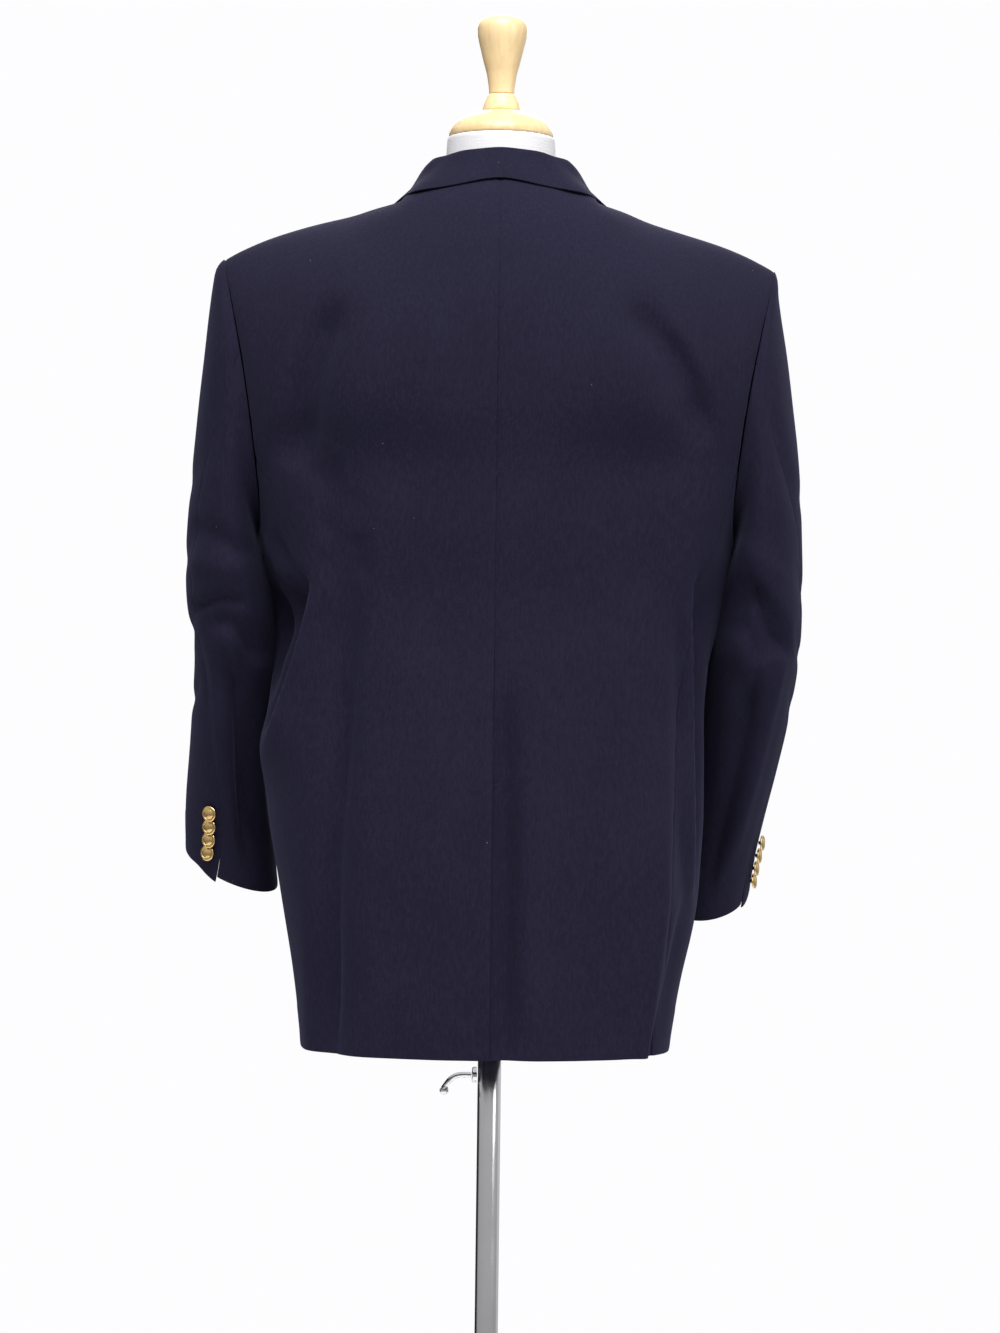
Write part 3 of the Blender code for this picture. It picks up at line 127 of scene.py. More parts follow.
CREASES = {
    # below the left shoulder blade, the folds under the arm, the ridge at the waist, and the skirt
    ("body_left", "back"): (
        (((146, 1440), (168, 1375), (176, 1330), (178, 1270)), (16, 19), -12.5),
        (((190, 1405), (203, 1350), (208, 1300)), (9, 7), 1.4),
        (((143, 1295), (150, 1245), (156, 1205)), (5, 9), -3.6),
        (((127.5, 1175), (134, 1070), (138, 990), (143, 900), (143, 700)), (8, 11), -9.6),
        (((157, 1190), (175.5, 1122), (188.5, 1080), (205, 1036), (216, 1010)), (9, 4), 5.2),
        (((173, 1185), (189, 1118), (202, 1074), (214, 1036)), (4, 30), -28),
        (((216, 1225), (197, 1185), (180, 1150)), (3.5, 3.5), 3.6),
        (((206, 1225), (186, 1190), (170, 1165)), (4, 4), -3.8),
        (((122.5, 1222), (122.5, 1198), (119, 1172)), (9, 9), -2.4),
        (((60, 1300), (78, 1210), (83, 1120)), (20, 16), -1.4),
        (((85, 980), (94, 860), (90, 700)), (18, 14), -1.8),
        (((165, 930), (168, 850), (166, 700)), (9, 8), 1.6),
    ),
    # the right shoulder blade's fold, the hollow before the arm, and the skirt's folds
    ("body_right", "back"): (
        (((-118, 1438), (-129.6, 1421.6), (-158, 1387), (-179, 1351), (-193, 1300)), (12, 15), -9),
        (((-146, 1424), (-170, 1394), (-189, 1356), (-202, 1312)), (6, 6), 2.8),
        (((-195.5, 1420), (-197.5, 1360), (-196.5, 1300)), (4, 3), -1.8),
        (((-169, 1190), (-172.5, 1080), (-174, 996), (-179, 860)), (4, 9), -4),
        (((-178.5, 1190), (-181, 1080), (-183.5, 996), (-186.5, 860)), (3, 4), 3.4),
        (((-188.5, 1215), (-190, 1120), (-192.5, 1030), (-194.5, 930), (-194, 850)), (26, 4.5), -19),
        (((-165, 935), (-160.4, 902), (-151, 830), (-141.5, 755), (-136, 700)), (5, 9), 3.2),
        (((-183, 910), (-179.4, 886), (-166, 820), (-153.1, 764), (-142, 700)), (10, 5), -6.4),
        (((-60, 1290), (-66, 1200), (-84, 1110)), (15, 22), -1.1),
        (((-148.5, 1205), (-150, 1120), (-146, 1010)), (12, 10), -1.8),
        (((-76, 975), (-88, 850), (-96, 700)), (16, 18), -2),
    ),
    # the vent: its left edge stands out, and the right back sinks beside it
    ("back_left", "back"): (
        (((4, 1160), (3.5, 1090), (3, 1005), (3, 900), (3, 700)), (4, 12), 2.2),
    ),
    ("back_right", "back"): (
        (((-6, 1120), (-8.5, 1040), (-11, 940), (-12, 840), (-12, 700)), (13, 7), -11),
        (((-30, 1000), (-34, 900), (-40, 800), (-44, 700)), (12, 10), 1.4),
    ),
    # the fronts, in the same manner
    ("body_left", "front"): (
        (((186, 1405), (172, 1345), (166, 1275)), (11, 9), -2.8),
        (((204, 1200), (158, 1128), (92, 1066), (40, 1044)), (13, 13), -2.4),
        (((200, 1150), (146, 1088), (84, 1046)), (8, 8), 1.3),
        (((148, 885), (153, 800), (150, 690)), (11, 14), -3),
        (((74, 930), (88, 830), (86, 690)), (14, 12), -1.6),
    ),
    ("body_right", "front"): (
        (((-181, 1412), (-176, 1350), (-161, 1268)), (9, 12), -3.2),
        (((-198, 1206), (-152, 1138), (-90, 1080), (-44, 1052)), (12, 12), -2),
        (((-194, 1108), (-140, 1060), (-80, 1036)), (9, 9), -1.2),
        (((-122, 990), (-136, 860), (-131, 690)), (13, 11), -2.6),
    ),
    # the left sleeve: two drags above the elbow, one below it, and the hollow inside it
    ("sleeve_left", "back"): (
        (((292, 1232), (274.7, 1223), (252, 1213), (222, 1194)), (10, 10), -5),
        (((290, 1150), (275.6, 1152.6), (249.7, 1159), (226, 1150)), (6, 6), -7.6),
        (((292, 1190), (262, 1190), (230, 1180)), (10, 10), 3.6),
        (((276, 1132), (250, 1138), (227, 1120), (216, 1092)), (12, 9), -9.4),
        (((262, 1120), (244, 1085), (236, 1030), (234, 960), (232, 900)), (28, 7), -12.4),
        (((276, 1128), (262, 1098), (256, 1040), (256, 975)), (6, 6), 3.4),
        (((242, 1400), (256, 1340), (262, 1270)), (12, 10), -2.4),
    ),
    # its like outside, in front, and where it fills out to the body
    ("sleeve_left", "left"): (
        (((66, 1300), (20, 1268), (-60, 1286)), (12, 12), -1.4),
        (((50, 1226), (0, 1196), (-66, 1220)), (10, 10), -1.6),
        (((40, 1156), (-20, 1128), (-84, 1150)), (9, 9), -2.6),
        (((20, 1090), (-36, 1064), (-92, 1082)), (8, 8), -2.4),
    ),
    ("sleeve_left", "front"): (
        (((288, 1172), (256, 1150), (222, 1166)), (8, 8), -4),
        (((284, 1118), (252, 1104), (222, 1122)), (7, 7), -3),
        (((286, 1142), (254, 1126), (226, 1142)), (9, 9), 2),
    ),
    # the right sleeve, bent more, with a deep hollow behind the elbow
    ("sleeve_right", "back"): (
        (((-232, 1400), (-241.1, 1377.8), (-254.9, 1326), (-273.7, 1263.1), (-284, 1225)), (7, 9), -2.6),
        (((-218, 1190), (-238.5, 1171.7), (-262, 1145), (-279, 1108)), (6, 30), -17),
        (((-212, 1222), (-240, 1204), (-272, 1176)), (10, 10), 3.2),
        (((-212, 1150), (-236, 1128), (-254, 1098)), (8, 8), -5.2),
        (((-206, 1110), (-226, 1084), (-240, 1052)), (8, 8), -3.4),
        (((-246, 1120), (-240, 1050), (-230, 990), (-216, 920), (-206, 870)), (7, 28), -13),
        (((-276, 1135), (-264, 1080), (-254, 1030), (-242, 970), (-228, 900)), (6, 6), 3.6),
    ),
    ("sleeve_right", "right"): (
        (((64, 1296), (16, 1260), (-60, 1276)), (11, 11), -1.2),
        (((50, 1206), (-6, 1172), (-80, 1194)), (10, 10), -1.4),
        (((36, 1150), (-34, 1112), (-104, 1136)), (8, 8), -2),
        (((10, 1094), (-56, 1062), (-122, 1080)), (9, 9), -1.4),
    ),
    ("sleeve_right", "front"): (
        (((-286, 1160), (-250, 1134), (-212, 1150)), (8, 8), -4.6),
        (((-280, 1108), (-244, 1086), (-206, 1102)), (7, 7), -3.4),
        (((-284, 1132), (-248, 1108), (-210, 1124)), (9, 9), 2.2),
    ),
    # the sides of waist and skirt, filled out to the arm
    ("body_left", "left"): (
        (((10, 1290), (6, 1200), (4, 1120), (4, 1020)), (30, 34), 4.2),
        (((-30, 1150), (-46, 1080), (-52, 1000)), (14, 16), -2.4),
        (((-60, 930), (-50, 840), (-56, 690)), (14, 12), -2.4),
    ),
    ("body_right", "right"): (
        (((16, 1300), (12, 1240), (8, 1180), (6, 1100)), (30, 34), 5.6),
        (((-28, 1140), (-44, 1070), (-50, 980)), (13, 15), -2.6),
        (((-66, 950), (-52, 850), (-60, 690)), (12, 14), -2.2),
    ),
    ("sleeve_left", "right"): (
        (((-30, 1290), (-30, 1240), (-28, 1190), (-24, 1120)), (22, 22), 1.6),
    ),
    ("sleeve_right", "left"): (
        (((-30, 1290), (-30, 1240), (-26, 1190), (-24, 1120)), (22, 22), 1.6),
    ),
    # the collar's fall, full beside the neck
    ("collar", "left"): (
        (((66, 1568), (30, 1562), (0, 1554), (-40, 1536)), (9, 9), 4.2),
    ),
    ("collar", "right"): (
        (((66, 1568), (30, 1562), (0, 1554), (-40, 1536)), (9, 9), 4.2),
    ),
}

# a view's axis across, the axis toward the eye, and that axis's sign
VIEWS = {"back": (0, 1, 1), "front": (0, 1, -1), "left": (1, 0, 1), "right": (1, 0, -1)}
SEEN_FROM, SEEN_SPAN = 0.04, 0.40  # creases come in as the cloth turns to face the view by this much
CREASE_TAPER = 0.25                # share of a crease's length over which each end fades

CREASE_PIECES = {
    "body_left": ("back_left", "side_left", "front_left", "lapel_left", "flap_left", "welt"),
    "body_right": ("back_right", "side_right", "front_right", "lapel_right", "flap_right"),
    "sleeve_left": ("top_sleeve_left", "under_sleeve_left"),
    "sleeve_right": ("top_sleeve_right", "under_sleeve_right"),
    "back_left": ("back_left",),
    "back_right": ("back_right",),
    "collar": ("collar",),
}

# ---------------------------------------------------------------- turned and lofted pieces
# Each profile is radius and height in millimetres.

FINIAL = ((0, 1712), (8, 1711.8), (15, 1710.9), (19, 1709.2), (21.8, 1706.2), (23.2, 1703), (23.6, 1699.5),
          (23.2, 1694), (22, 1688), (20.5, 1682), (19, 1676), (17.5, 1670), (16, 1664.5), (14.6, 1659.5),
          (13.6, 1654.5), (12.8, 1649.5), (12.1, 1644), (11.8, 1640), (11.6, 1639.2), (0, 1639.1))
BEAD = ((0, 1638.6), (11, 1638.6), (12.6, 1638.4), (13.7, 1637), (14.5, 1635.2), (15.6, 1632.5),
        (16.8, 1629.5), (17.5, 1626.2), (17.6, 1624), (17.2, 1622.8), (16.4, 1622.1), (0, 1622.1))
CAP = ((0, 1621.6), (18, 1621.6), (23.2, 1621.3), (30, 1619.5), (36, 1616.6), (41.5, 1613), (45.5, 1609),
       (48, 1604.8), (48.9, 1601.8), (49, 1599.2), (48.4, 1598.2), (0, 1598.1))
NECK = ((0, 1597.6), (48, 1597.6), (49.9, 1597), (50.6, 1595.5), (50.8, 1593), (50.9, 1590.5), (51.3, 1585),
        (51.6, 1570), (52.2, 1556), (52.4, 1546), (0, 1545.4))
ROD = ((0, 799.6), (28.5, 799.6), (29.7, 799.2), (30, 798.4), (30, 797), (29.6, 796), (28.4, 795.7),
       (12, 795.7), (9.8, 795), (8.8, 793), (8.8, 377), (8, 375.2), (0, 375))
POLE = ((9.2, 8.4), (9.2, 774.4), (9.6, 774.9), (10.5, 774.9), (11, 774.3), (11, 762), (10.8, 761.6),
        (10.8, 760.4), (11, 760), (11, 38), (11.4, 34), (12.6, 29), (15, 24), (19, 21), (20.2, 20),
        (20.6, 15), (22, 11), (25.5, 9), (25.8, 8.4), (9.2, 8.4))
BASE = ((0, 8), (156, 8), (164, 7.8), (167.5, 7), (169.2, 5.8), (169.9, 4.4), (170, 2), (169.6, 0.6),
        (168.5, 0), (0, 0))
BOSS_HEIGHT = 0.715            # of the pole's side boss, in metres
BOSS = ((0, 16.4), (5, 16.4), (6.4, 16.2), (7.2, 15.6), (7.5, 14.8), (7.5, 11.7), (0, 11.7))
# a button's radius, as a share of its whole one, and height in millimetres
BUTTON = ((0, 5.95), (0.10, 5.93), (0.22, 5.80), (0.36, 5.52), (0.50, 5.12), (0.60, 4.76), (0.645, 4.55),
          (0.68, 4.52), (0.70, 4.66), (0.73, 4.90), (0.78, 5.02), (0.84, 5.00), (0.90, 4.84), (0.96, 4.50),
          (0.995, 4.05), (1.0, 3.75), (0.985, 3.40), (0.94, 3.14), (0.86, 3.05), (0.30, 3.02), (0.26, 2.6),
          (0.24, 1.2), (0.24, 0.15), (0, 0.15))
BUTTON_STEPS = 72
MILLED_SHARES = (0.70, 0.97)  # the rim's milled band,
MILLED_FROM = 4.4             # above this height,
MILLED_TEETH = 24
MILLED_DEPTH = 0.00007        # with teeth this deep, in metres

# the lever's line, as x and height from the boss, and its radius, in millimetres, up to the ball at its end
LEVER = ((16.9, 0, 2.6), (22, 0, 2.6), (28, -0.4, 2.6), (34.5, -2.8, 2.6), (39.5, -7.8, 2.6))
BALL_PLACE = (42.5, -15)
BALL_RADIUS = 4.2
BALL_RINGS = 7
BALL_TURN = (0.18, 0.98)      # the ball's first and last ring, in half turns
LEAST_RADIUS = 0.0001         # of a bar where it runs to a point

FORM_SEAMS = (0.0, 0.62, -0.62, 1.57, -1.57, 2.5, -2.5, math.pi, -math.pi)  # turned from the front
FORM_SEAM_WIDTH = 0.0022
FORM_SEAM_DEPTH = 0.0008
FORM_OVERLAP = 3              # points by which a ring overlaps itself, so that its curve closes smoothly
FORM_RINGS = 0.012            # between the torso's rings that are kept ...
SHOULDER_HEIGHT = 1.492       # ... up to here, and all of them above it


# ---------------------------------------------------------------- the stage, in metres

FLOOR_RADIUS = 1.8
FLOOR_DROP = 0.0005           # so that the base doesn't share its face
CAMERA_ACROSS = -0.0052
LENS = 90.0                   # in millimetres, as the sensor is
SENSOR = 36.0
AIM_HEIGHT = 1.2              # where every light points
# each light's name, place, size and share of the key's power
LIGHTS = (("overhead", (0.0, 1.5, 3.2), 1.8, 1.0), ("side_right", (-2.3, 1.5, 1.9), 1.2, 0.18),
          ("front_top", (0.0, -2.4, 2.8), 1.6, 0.5))
# the surround's brightness at two heights, as shares from straight below to straight above
SURROUND_STOPS = ((0.25, (0.20, 0.20, 0.21, 1)), (0.85, (1.25, 1.25, 1.27, 1)))


# ---------------------------------------------------------------- grids of cloth


def kind_of(node):
    """The kind of a piece, which is its name without its side."""
    return node.removesuffix("_left").removesuffix("_right")


def side_of(node):
    """The sign of x on a piece's own side."""
    return -1 if node.endswith("_right") else 1


def outer_face(work, wall):
    """The triangles of a cloth wall's outer face: the rim's cross the wall, and of the other two
    faces it is the larger."""
    broad = [face for face in work.faces
             if all(abs(edge.calc_length() - wall) > WALL_MATCH for edge in face.edges)]
    unseen, faces = set(broad), []
    for start in broad:
        if start not in unseen:
            continue
        unseen.discard(start)
        face_set = [start]
        for face in face_set:
            for edge in face.edges:
                for other in edge.link_faces:
                    if other in unseen:
                        unseen.discard(other)
                        face_set.append(other)
        faces.append(face_set)
    return max(faces, key=lambda group: sum(face.calc_area() for face in group))


def rim_of(faces):
    """The outline of some faces, anticlockwise as seen from outside."""
    inside, after = set(faces), {}
    for face in faces:
        for corner in face.loops:
            if sum(other in inside for other in corner.edge.link_faces) == 1:
                after[corner.vert] = corner.link_loop_next.vert
    rim = [next(iter(after))]
    while after[rim[-1]] is not rim[0]:
        rim.append(after[rim[-1]])
    return rim


def read_grid(node):
    """The grid of points that a cloth piece was drawn with, and the sign of its outward way."""
    kind = kind_of(node)
    rows, columns = GRIDS[kind]
    work = bmesh.new()
    work.from_mesh(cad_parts[node].data)
    bmesh.ops.remove_doubles(work, verts=work.verts, dist=WELD)
    faces = outer_face(work, COLLAR_WALL if kind == "collar" else WALL)
    rim = rim_of(faces)
    count = len(rim)
    if count != 2 * (rows + columns) - 4:
        raise RuntimeError(f"{node} has {count} points round it, which isn't {rows} by {columns}")
    turns = [(rim[k].co - rim[k - 1].co).angle(rim[(k + 1) % count].co - rim[k].co) for k in range(count)]
    steps = (0, columns - 1, columns + rows - 2, 2 * columns + rows - 3)
    corner = max(range(count), key=lambda k: sum(turns[(k + step) % count] for step in steps))
    near = {}
    for face in faces:
        for edge in face.edges:
            for one, other in (tuple(edge.verts), tuple(edge.verts)[::-1]):
                near.setdefault(one, set()).add(other)
    lines = [[rim[(corner + k) % count] for k in range(columns)]]
    used = set(lines[0])
    for r in range(1, rows):
        beside = set().union(*(near[point] for point in lines[-1])) - used
        line = [rim[(corner - r) % count]]
        while len(line) < columns:
            line += [point for point in near[line[-1]] if point in beside and point not in line][:1]
        lines.append(line)
        used |= set(line)
    grid = np.array([[point.co[:] for point in line] for line in lines])
    work.free()
    return facing(grid, kind, side_of(node))


def facing(grid, kind, side):
    """Turns a grid so that its rows and columns run the way its kind's do."""
    sign = 1
    way = np.array(ROW_WAY.get(kind, (0, 0, 1)))
    if (grid[0] @ way).mean() > (grid[-1] @ way).mean():
        grid, sign = grid[::-1], -sign
    first, last = grid[:, 0], grid[:, -1]
    measure = {"side": lambda line: (side * line[:, 0]).mean(),
               "back": lambda line: -line[:, 1].mean(),
               "fore": lambda line: line[:, 1].mean(),
               "round": lambda line: np.hypot(line[:, 0], line[:, 1]).mean()}[COLUMN_WAY[kind]]
    if measure(first) > measure(last):
        grid, sign = grid[:, ::-1], -sign
    return grid.copy(), sign


def rim_places(grid):
    """The rows and columns of the points round a grid."""
    rows, columns = grid.shape[:2]
    return [(r, c) for r in range(rows) for c in range(columns)
            if r in (0, rows - 1) or c in (0, columns - 1)]


def join(grids, first, second, share, reach, lowest=-1.0):
    """Brings two pieces' edges together where they meet: each pair of points goes to one place, `share`
    of the way from the first piece's point to the second's. A sleeve's two cuff corners stay apart."""
    one, other = grids[first][0], grids[second][0]
    places, others = rim_places(one), rim_places(other)
    points = np.array([one[p] for p in places])
    targets = np.array([other[p] for p in others])
    gaps = np.linalg.norm(points[:, None] - targets[None], axis=2)
    cuff = len(one) - 1 if first.startswith("top_sleeve") else None
    for k, place in enumerate(places):
        nearest = int(gaps[k].argmin())
        if place[0] == cuff:
            continue
        if gaps[k, nearest] > reach or int(gaps[:, nearest].argmin()) != k or points[k, 2] < lowest:
            continue
        met = points[k] + (targets[nearest] - points[k]) * share
        one[place] = met
        other[others[nearest]] = met


def joined_coat():
    """Every cloth piece's grid, with the pieces' edges brought together at the seams."""
    grids = {node: read_grid(node) for node in sorted(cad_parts) if kind_of(node) in GRIDS}
    join(grids, "back_left", "back_right", 0.5, SEAM_REACH, VENT_TOP - 0.02)
    for side in SIDES:
        for one, other in (("top_sleeve_", "under_sleeve_"), ("back_", "side_"), ("side_", "front_"),
                           ("back_", "front_")):
            join(grids, one + side, other + side, 0.5, SEAM_REACH)
        for body in ("back_", "side_", "front_"):
            for sleeve in ("top_sleeve_", "under_sleeve_"):
                join(grids, body + side, sleeve + side, 1.0, ARMHOLE_REACH)
    return grids


COAT = joined_coat()


def spline(count, places):
    """The matrix that takes values at 0, 1, 2 ... to a smooth curve through them, read at these places."""
    fit, bend = np.eye(count), np.zeros((count, count))
    for k in range(1, count - 1):
        fit[k, k - 1:k + 2] = (1, 4, 1)
        bend[k, k - 1:k + 2] = (6, -12, 6)
    second = np.linalg.solve(fit, bend)
    places = np.asarray(places, float)
    low = np.clip(places.astype(int), 0, count - 2)
    after = (places - low)[:, None]
    before = 1 - after
    one = np.eye(count)
    return (before * one[low] + after * one[low + 1]
            + ((before ** 3 - before) * second[low] + (after ** 3 - after) * second[low + 1]) / 6)


def filled(count, fineness):
    """The matrix that fills in this many values to that many times as many."""
    return spline(count, np.linspace(0, count - 1, fineness * count))


def stations(lengths, spacing):
    """Places along a grid, evenly spaced between its lines, with extra ones close to both ends."""
    even = np.concatenate([k + np.arange(n) / n for k, n in
                           enumerate(np.maximum(1, np.ceil(lengths / spacing)).astype(int))])
    total = np.concatenate(([0], np.cumsum(lengths)))
    along = np.interp(even, np.arange(len(total)), total)
    inner = along[(along > EDGE_LINES[-1] * EDGE_ROOM) & (along < total[-1] - EDGE_LINES[-1] * EDGE_ROOM)]
    every = np.concatenate((EDGE_LINES, inner, total[-1] - np.array(EDGE_LINES)))
    return np.interp(np.sort(every), total, np.arange(len(total)))


def along_line(points):
    """How far along a line each of its points is."""
    return np.concatenate(([0], np.cumsum(np.linalg.norm(np.diff(points, axis=0), axis=1))))


def unlapped(grid):
    """The right back's grid as if it ended at the centre line, and how far each point has gone from there
    to run on under the left back."""
    plain = grid.copy()
    columns = grid.shape[1]
    whole = np.flatnonzero(grid[:, 0, 0] < SEAM_REACH)[0]
    shares = along_line(grid[whole])
    for r in range(whole):
        fine = np.linspace(0, columns - 1, 20 * columns)
        line = spline(columns, fine) @ grid[r]
        along = along_line(line)
        centre = np.interp(0, -line[:, 0], along)
        wanted = centre + shares / shares[-1] * (along[-1] - centre)
        plain[r] = spline(columns, np.interp(wanted, along, fine)) @ grid[r]
    return plain, grid - plain, int(whole)


def drawn(grid, spacing, corner_column=None, lapped=False):
    """A grid drawn finely along smooth curves. The corner column bends sharply at the armhole's foot."""
    if lapped:
        grid, gone, whole = unlapped(grid)
    lengths = np.linalg.norm(np.diff(grid, axis=0), axis=2).mean(1)
    widths = np.linalg.norm(np.diff(grid, axis=1), axis=2).mean(0)
    up = stations(lengths, spacing)
    across = stations(widths, spacing)
    fine = np.einsum("ij,jkc->ikc", spline(len(grid), up), grid)
    if corner_column is not None:
        low = up <= ARMHOLE_ROW
        column = grid[:, corner_column]
        fine[low, corner_column] = spline(ARMHOLE_ROW + 1, up[low]) @ column[:ARMHOLE_ROW + 1]
        fine[~low, corner_column] = (spline(len(grid) - ARMHOLE_ROW, up[~low] - ARMHOLE_ROW)
                                     @ column[ARMHOLE_ROW:])
    if lapped:
        low = up <= whole - 1
        fine[low] += np.einsum("ij,jkc->ikc", spline(whole, up[low]), gone[:whole])
        fade = 1 - ease((up - whole + 1) / LAP_FADE)
        fine[~low] += fade[~low, None, None] * gone[whole - 1]
    return np.einsum("ij,kjc->kic", spline(grid.shape[1], across), fine)


def ways_out(points, sign):
    """Unit directions out of a grid of points."""
    way = np.cross(np.gradient(points, axis=1), np.gradient(points, axis=0)) * sign
    return way / np.maximum(np.linalg.norm(way, axis=2, keepdims=True), 1e-12)


def run(points, axis):
    """How far along the cloth each point is from a grid's first and last line."""
    steps = np.linalg.norm(np.diff(points, axis=axis), axis=2)
    pad = [(0, 0), (0, 0)]
    pad[axis] = (1, 0)
    first = np.pad(np.cumsum(steps, axis=axis), pad)
    return first, first.max(axis=axis, keepdims=True) - first


def bell(distance, width):
    """1 at a line, falling off to both sides of it."""
    return np.exp(-(distance / width) ** 2)


def ease(share):
    """A smooth step from 0 to 1."""
    share = np.clip(share, 0, 1)
    return share * share * (3 - 2 * share)


def ripple(along, seed):
    """An uneven wave between about -1 and 1."""
    waves = [np.sin(along * 2 * math.pi / length + start * seed) for length, start in RIPPLES]
    return sum(waves) / len(waves)


def edge_relief(kind, name, points, coat):
    """How far a piece stands out of its plain form beside its seams and finished edges."""
    relief = np.zeros(points.shape[:2])
    from_first_row, from_last_row = run(points, 0)
    from_first_column, from_last_column = run(points, 1)
    seed = sum(map(ord, name)) % 17
    depth = coat.seam_depth * (SLEEVE_SEAM if kind in SLEEVE_KINDS else 1.0)
    for finish, away, along in ((EDGES[kind][0], from_first_row, from_first_column),
                                (EDGES[kind][1], from_last_row, from_first_column),
                                (EDGES[kind][2], from_first_column, from_first_row),
                                (EDGES[kind][3], from_last_column, from_first_row)):
        sewn = 1.0 if finish == "seam" else 0.0
        if finish == "vent":
            sewn = ease((points[:, :1, 2] - VENT_TOP) / VENT_FADE)
        pucker = PUCKER * bell(away, PUCKER_WIDTH) * (1 + ripple(along, seed))
        relief = relief - sewn * depth * (bell(away, SEAM_WIDTH) + pucker)
        if finish in ("turned", "vent"):
            relief = relief + (1 - sewn) * EDGE_RISE * bell(away - EDGE_ROLL[0], EDGE_ROLL[1])
        if finish == "hem":
            relief = relief + EDGE_RISE * ease((HEM_DEPTH - away) / HEM_STEP)
            relief = relief + EDGE_RISE * bell(away - HEM_ROLL[0], HEM_ROLL[1])
    return relief


def from_armhole(kind, points):
    """How far along the cloth a piece's points are from the armhole's seam."""
    down, up = run(points, 0)
    first, last = run(points, 1)
    if kind in SLEEVE_KINDS:
        return down
    if kind == "side":
        return up
    if kind in ARMHOLE_JOIN:
        below = ease((ARMHOLE_JOIN[kind] - points[..., 2]) / BELOW_ARMHOLE) * BELOW_ARMHOLE
        return (last if kind == "back" else first) + below
    return np.full(points.shape[:2], ARMHOLE_CALM)


def beside(flat, line):
    """How far each point is from a line, how far to its side, and its share of the way along."""
    nearest = np.full(flat.shape[:2], np.inf)
    sideways, share = np.zeros_like(nearest), np.zeros_like(nearest)
    steps = np.linalg.norm(np.diff(line, axis=0), axis=1)
    starts = along_line(line)
    for k in range(len(line) - 1):
        along = (line[k + 1] - line[k]) / steps[k]
        off = flat - line[k]
        t = np.clip(off @ along, 0, steps[k])
        rest = off - t[..., None] * along
        distance = np.linalg.norm(rest, axis=-1)
        closer = distance < nearest
        nearest = np.where(closer, distance, nearest)
        sideways = np.where(closer, rest[..., 0], sideways)
        share = np.where(closer, (starts[k] + t) / starts[-1], share)
    return nearest, sideways, share


def crease_relief(name, points, ways, coat):
    """How far the creases of a piece move its points out."""
    relief = np.zeros(points.shape[:2])
    for (group, view), creases in CREASES.items():
        if name not in CREASE_PIECES[group]:
            continue
        across, toward, facing_sign = VIEWS[view]
        seen = ease((ways[..., toward] * facing_sign - SEEN_FROM) / SEEN_SPAN)
        flat = points[..., [across, 2]]
        for line, (before, beyond), height in creases:
            line = np.array(line) * MM
            if len(line) > 2:
                line = filled(len(line), 6) @ line
            distance, sideways, share = beside(flat, line)
            width = np.where(sideways < 0, before, beyond) * MM
            taper = ease(share / CREASE_TAPER) * ease((1 - share) / CREASE_TAPER)
            relief += coat.crease_strength * height * MM * bell(distance, width) * taper * seen
    return relief * ease(from_armhole(kind_of(name), points) / ARMHOLE_CALM)


def soft_waves(points, coat):
    """The slight unevenness of hung cloth."""
    x, y, z = (points[..., k] for k in range(3))
    turn = np.arctan2(x, y)
    return coat.waviness * (np.sin(9 * turn + 11 * z + 0.4) * np.sin(23 * z + 3 * turn)
                            + 0.6 * np.sin(17 * turn - 19 * z + 1.1)
                            + 0.4 * np.sin(61 * z + 8 * turn + 2.0) * np.sin(13 * turn)) / 2


def panel(name, points, sign, thickness, finish):
    """A cloth piece's object: its outer face, given its thickness and rounded edges."""
    rows, columns = points.shape[:2]
    faces = []
    for r in range(rows - 1):
        for c in range(columns - 1):
            low = r * columns + c
            quad = (low, low + 1, low + columns + 1, low + columns)
            faces.append(quad if sign > 0 else quad[::-1])
    mesh = bpy.data.meshes.new(name)
    mesh.from_pydata(points.reshape(-1, 3).tolist(), [], faces)
    mesh.shade_smooth()
    made = link(name, mesh, finish)
    wall = made.modifiers.new("wall", "SOLIDIFY")
    wall.thickness = thickness
    wall.offset = -1.0
    rounding = made.modifiers.new("rounding", "BEVEL")
    rounding.width = thickness * ROUNDING
    rounding.segments = 2
    rounding.limit_method = "ANGLE"
    rounding.angle_limit = math.radians(55)
    return made


def link(name, data, finish):
    """An object in the scene from its mesh and material."""
    made = bpy.data.objects.new(name, data)
    bpy.context.scene.collection.objects.link(made)
    data.materials.append(finish)
    return made


def solid(name, points, faces, finish):
    """A smooth object from points and faces, with doubled points made one and its faces turned out."""
    work = bmesh.new()
    corners = [work.verts.new(point) for point in points]
    for face in faces:
        work.faces.new([corners[k] for k in face])
    bmesh.ops.remove_doubles(work, verts=work.verts, dist=SAME_POINT)
    bmesh.ops.recalc_face_normals(work, faces=work.faces)
    mesh = bpy.data.meshes.new(name)
    work.to_mesh(mesh)
    work.free()
    mesh.shade_smooth()
    return link(name, mesh, finish)


def band(rings, sides):
    """The faces between closed rings of points."""
    after = [(k + 1) % sides for k in range(sides)]
    return [(low + k, low + after[k], low + sides + after[k], low + sides + k)
            for low in range(0, (rings - 1) * sides, sides) for k in range(sides)]


def ends(rings, sides):
    """The faces that close the first and the last ring."""
    return [tuple(range(sides))[::-1], tuple((rings - 1) * sides + k for k in range(sides))]


def stand_for(piece, body, node):
    """The piece rides on a body in the place of its CAD node, which is hidden."""
    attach(piece, body)
    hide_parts(node)


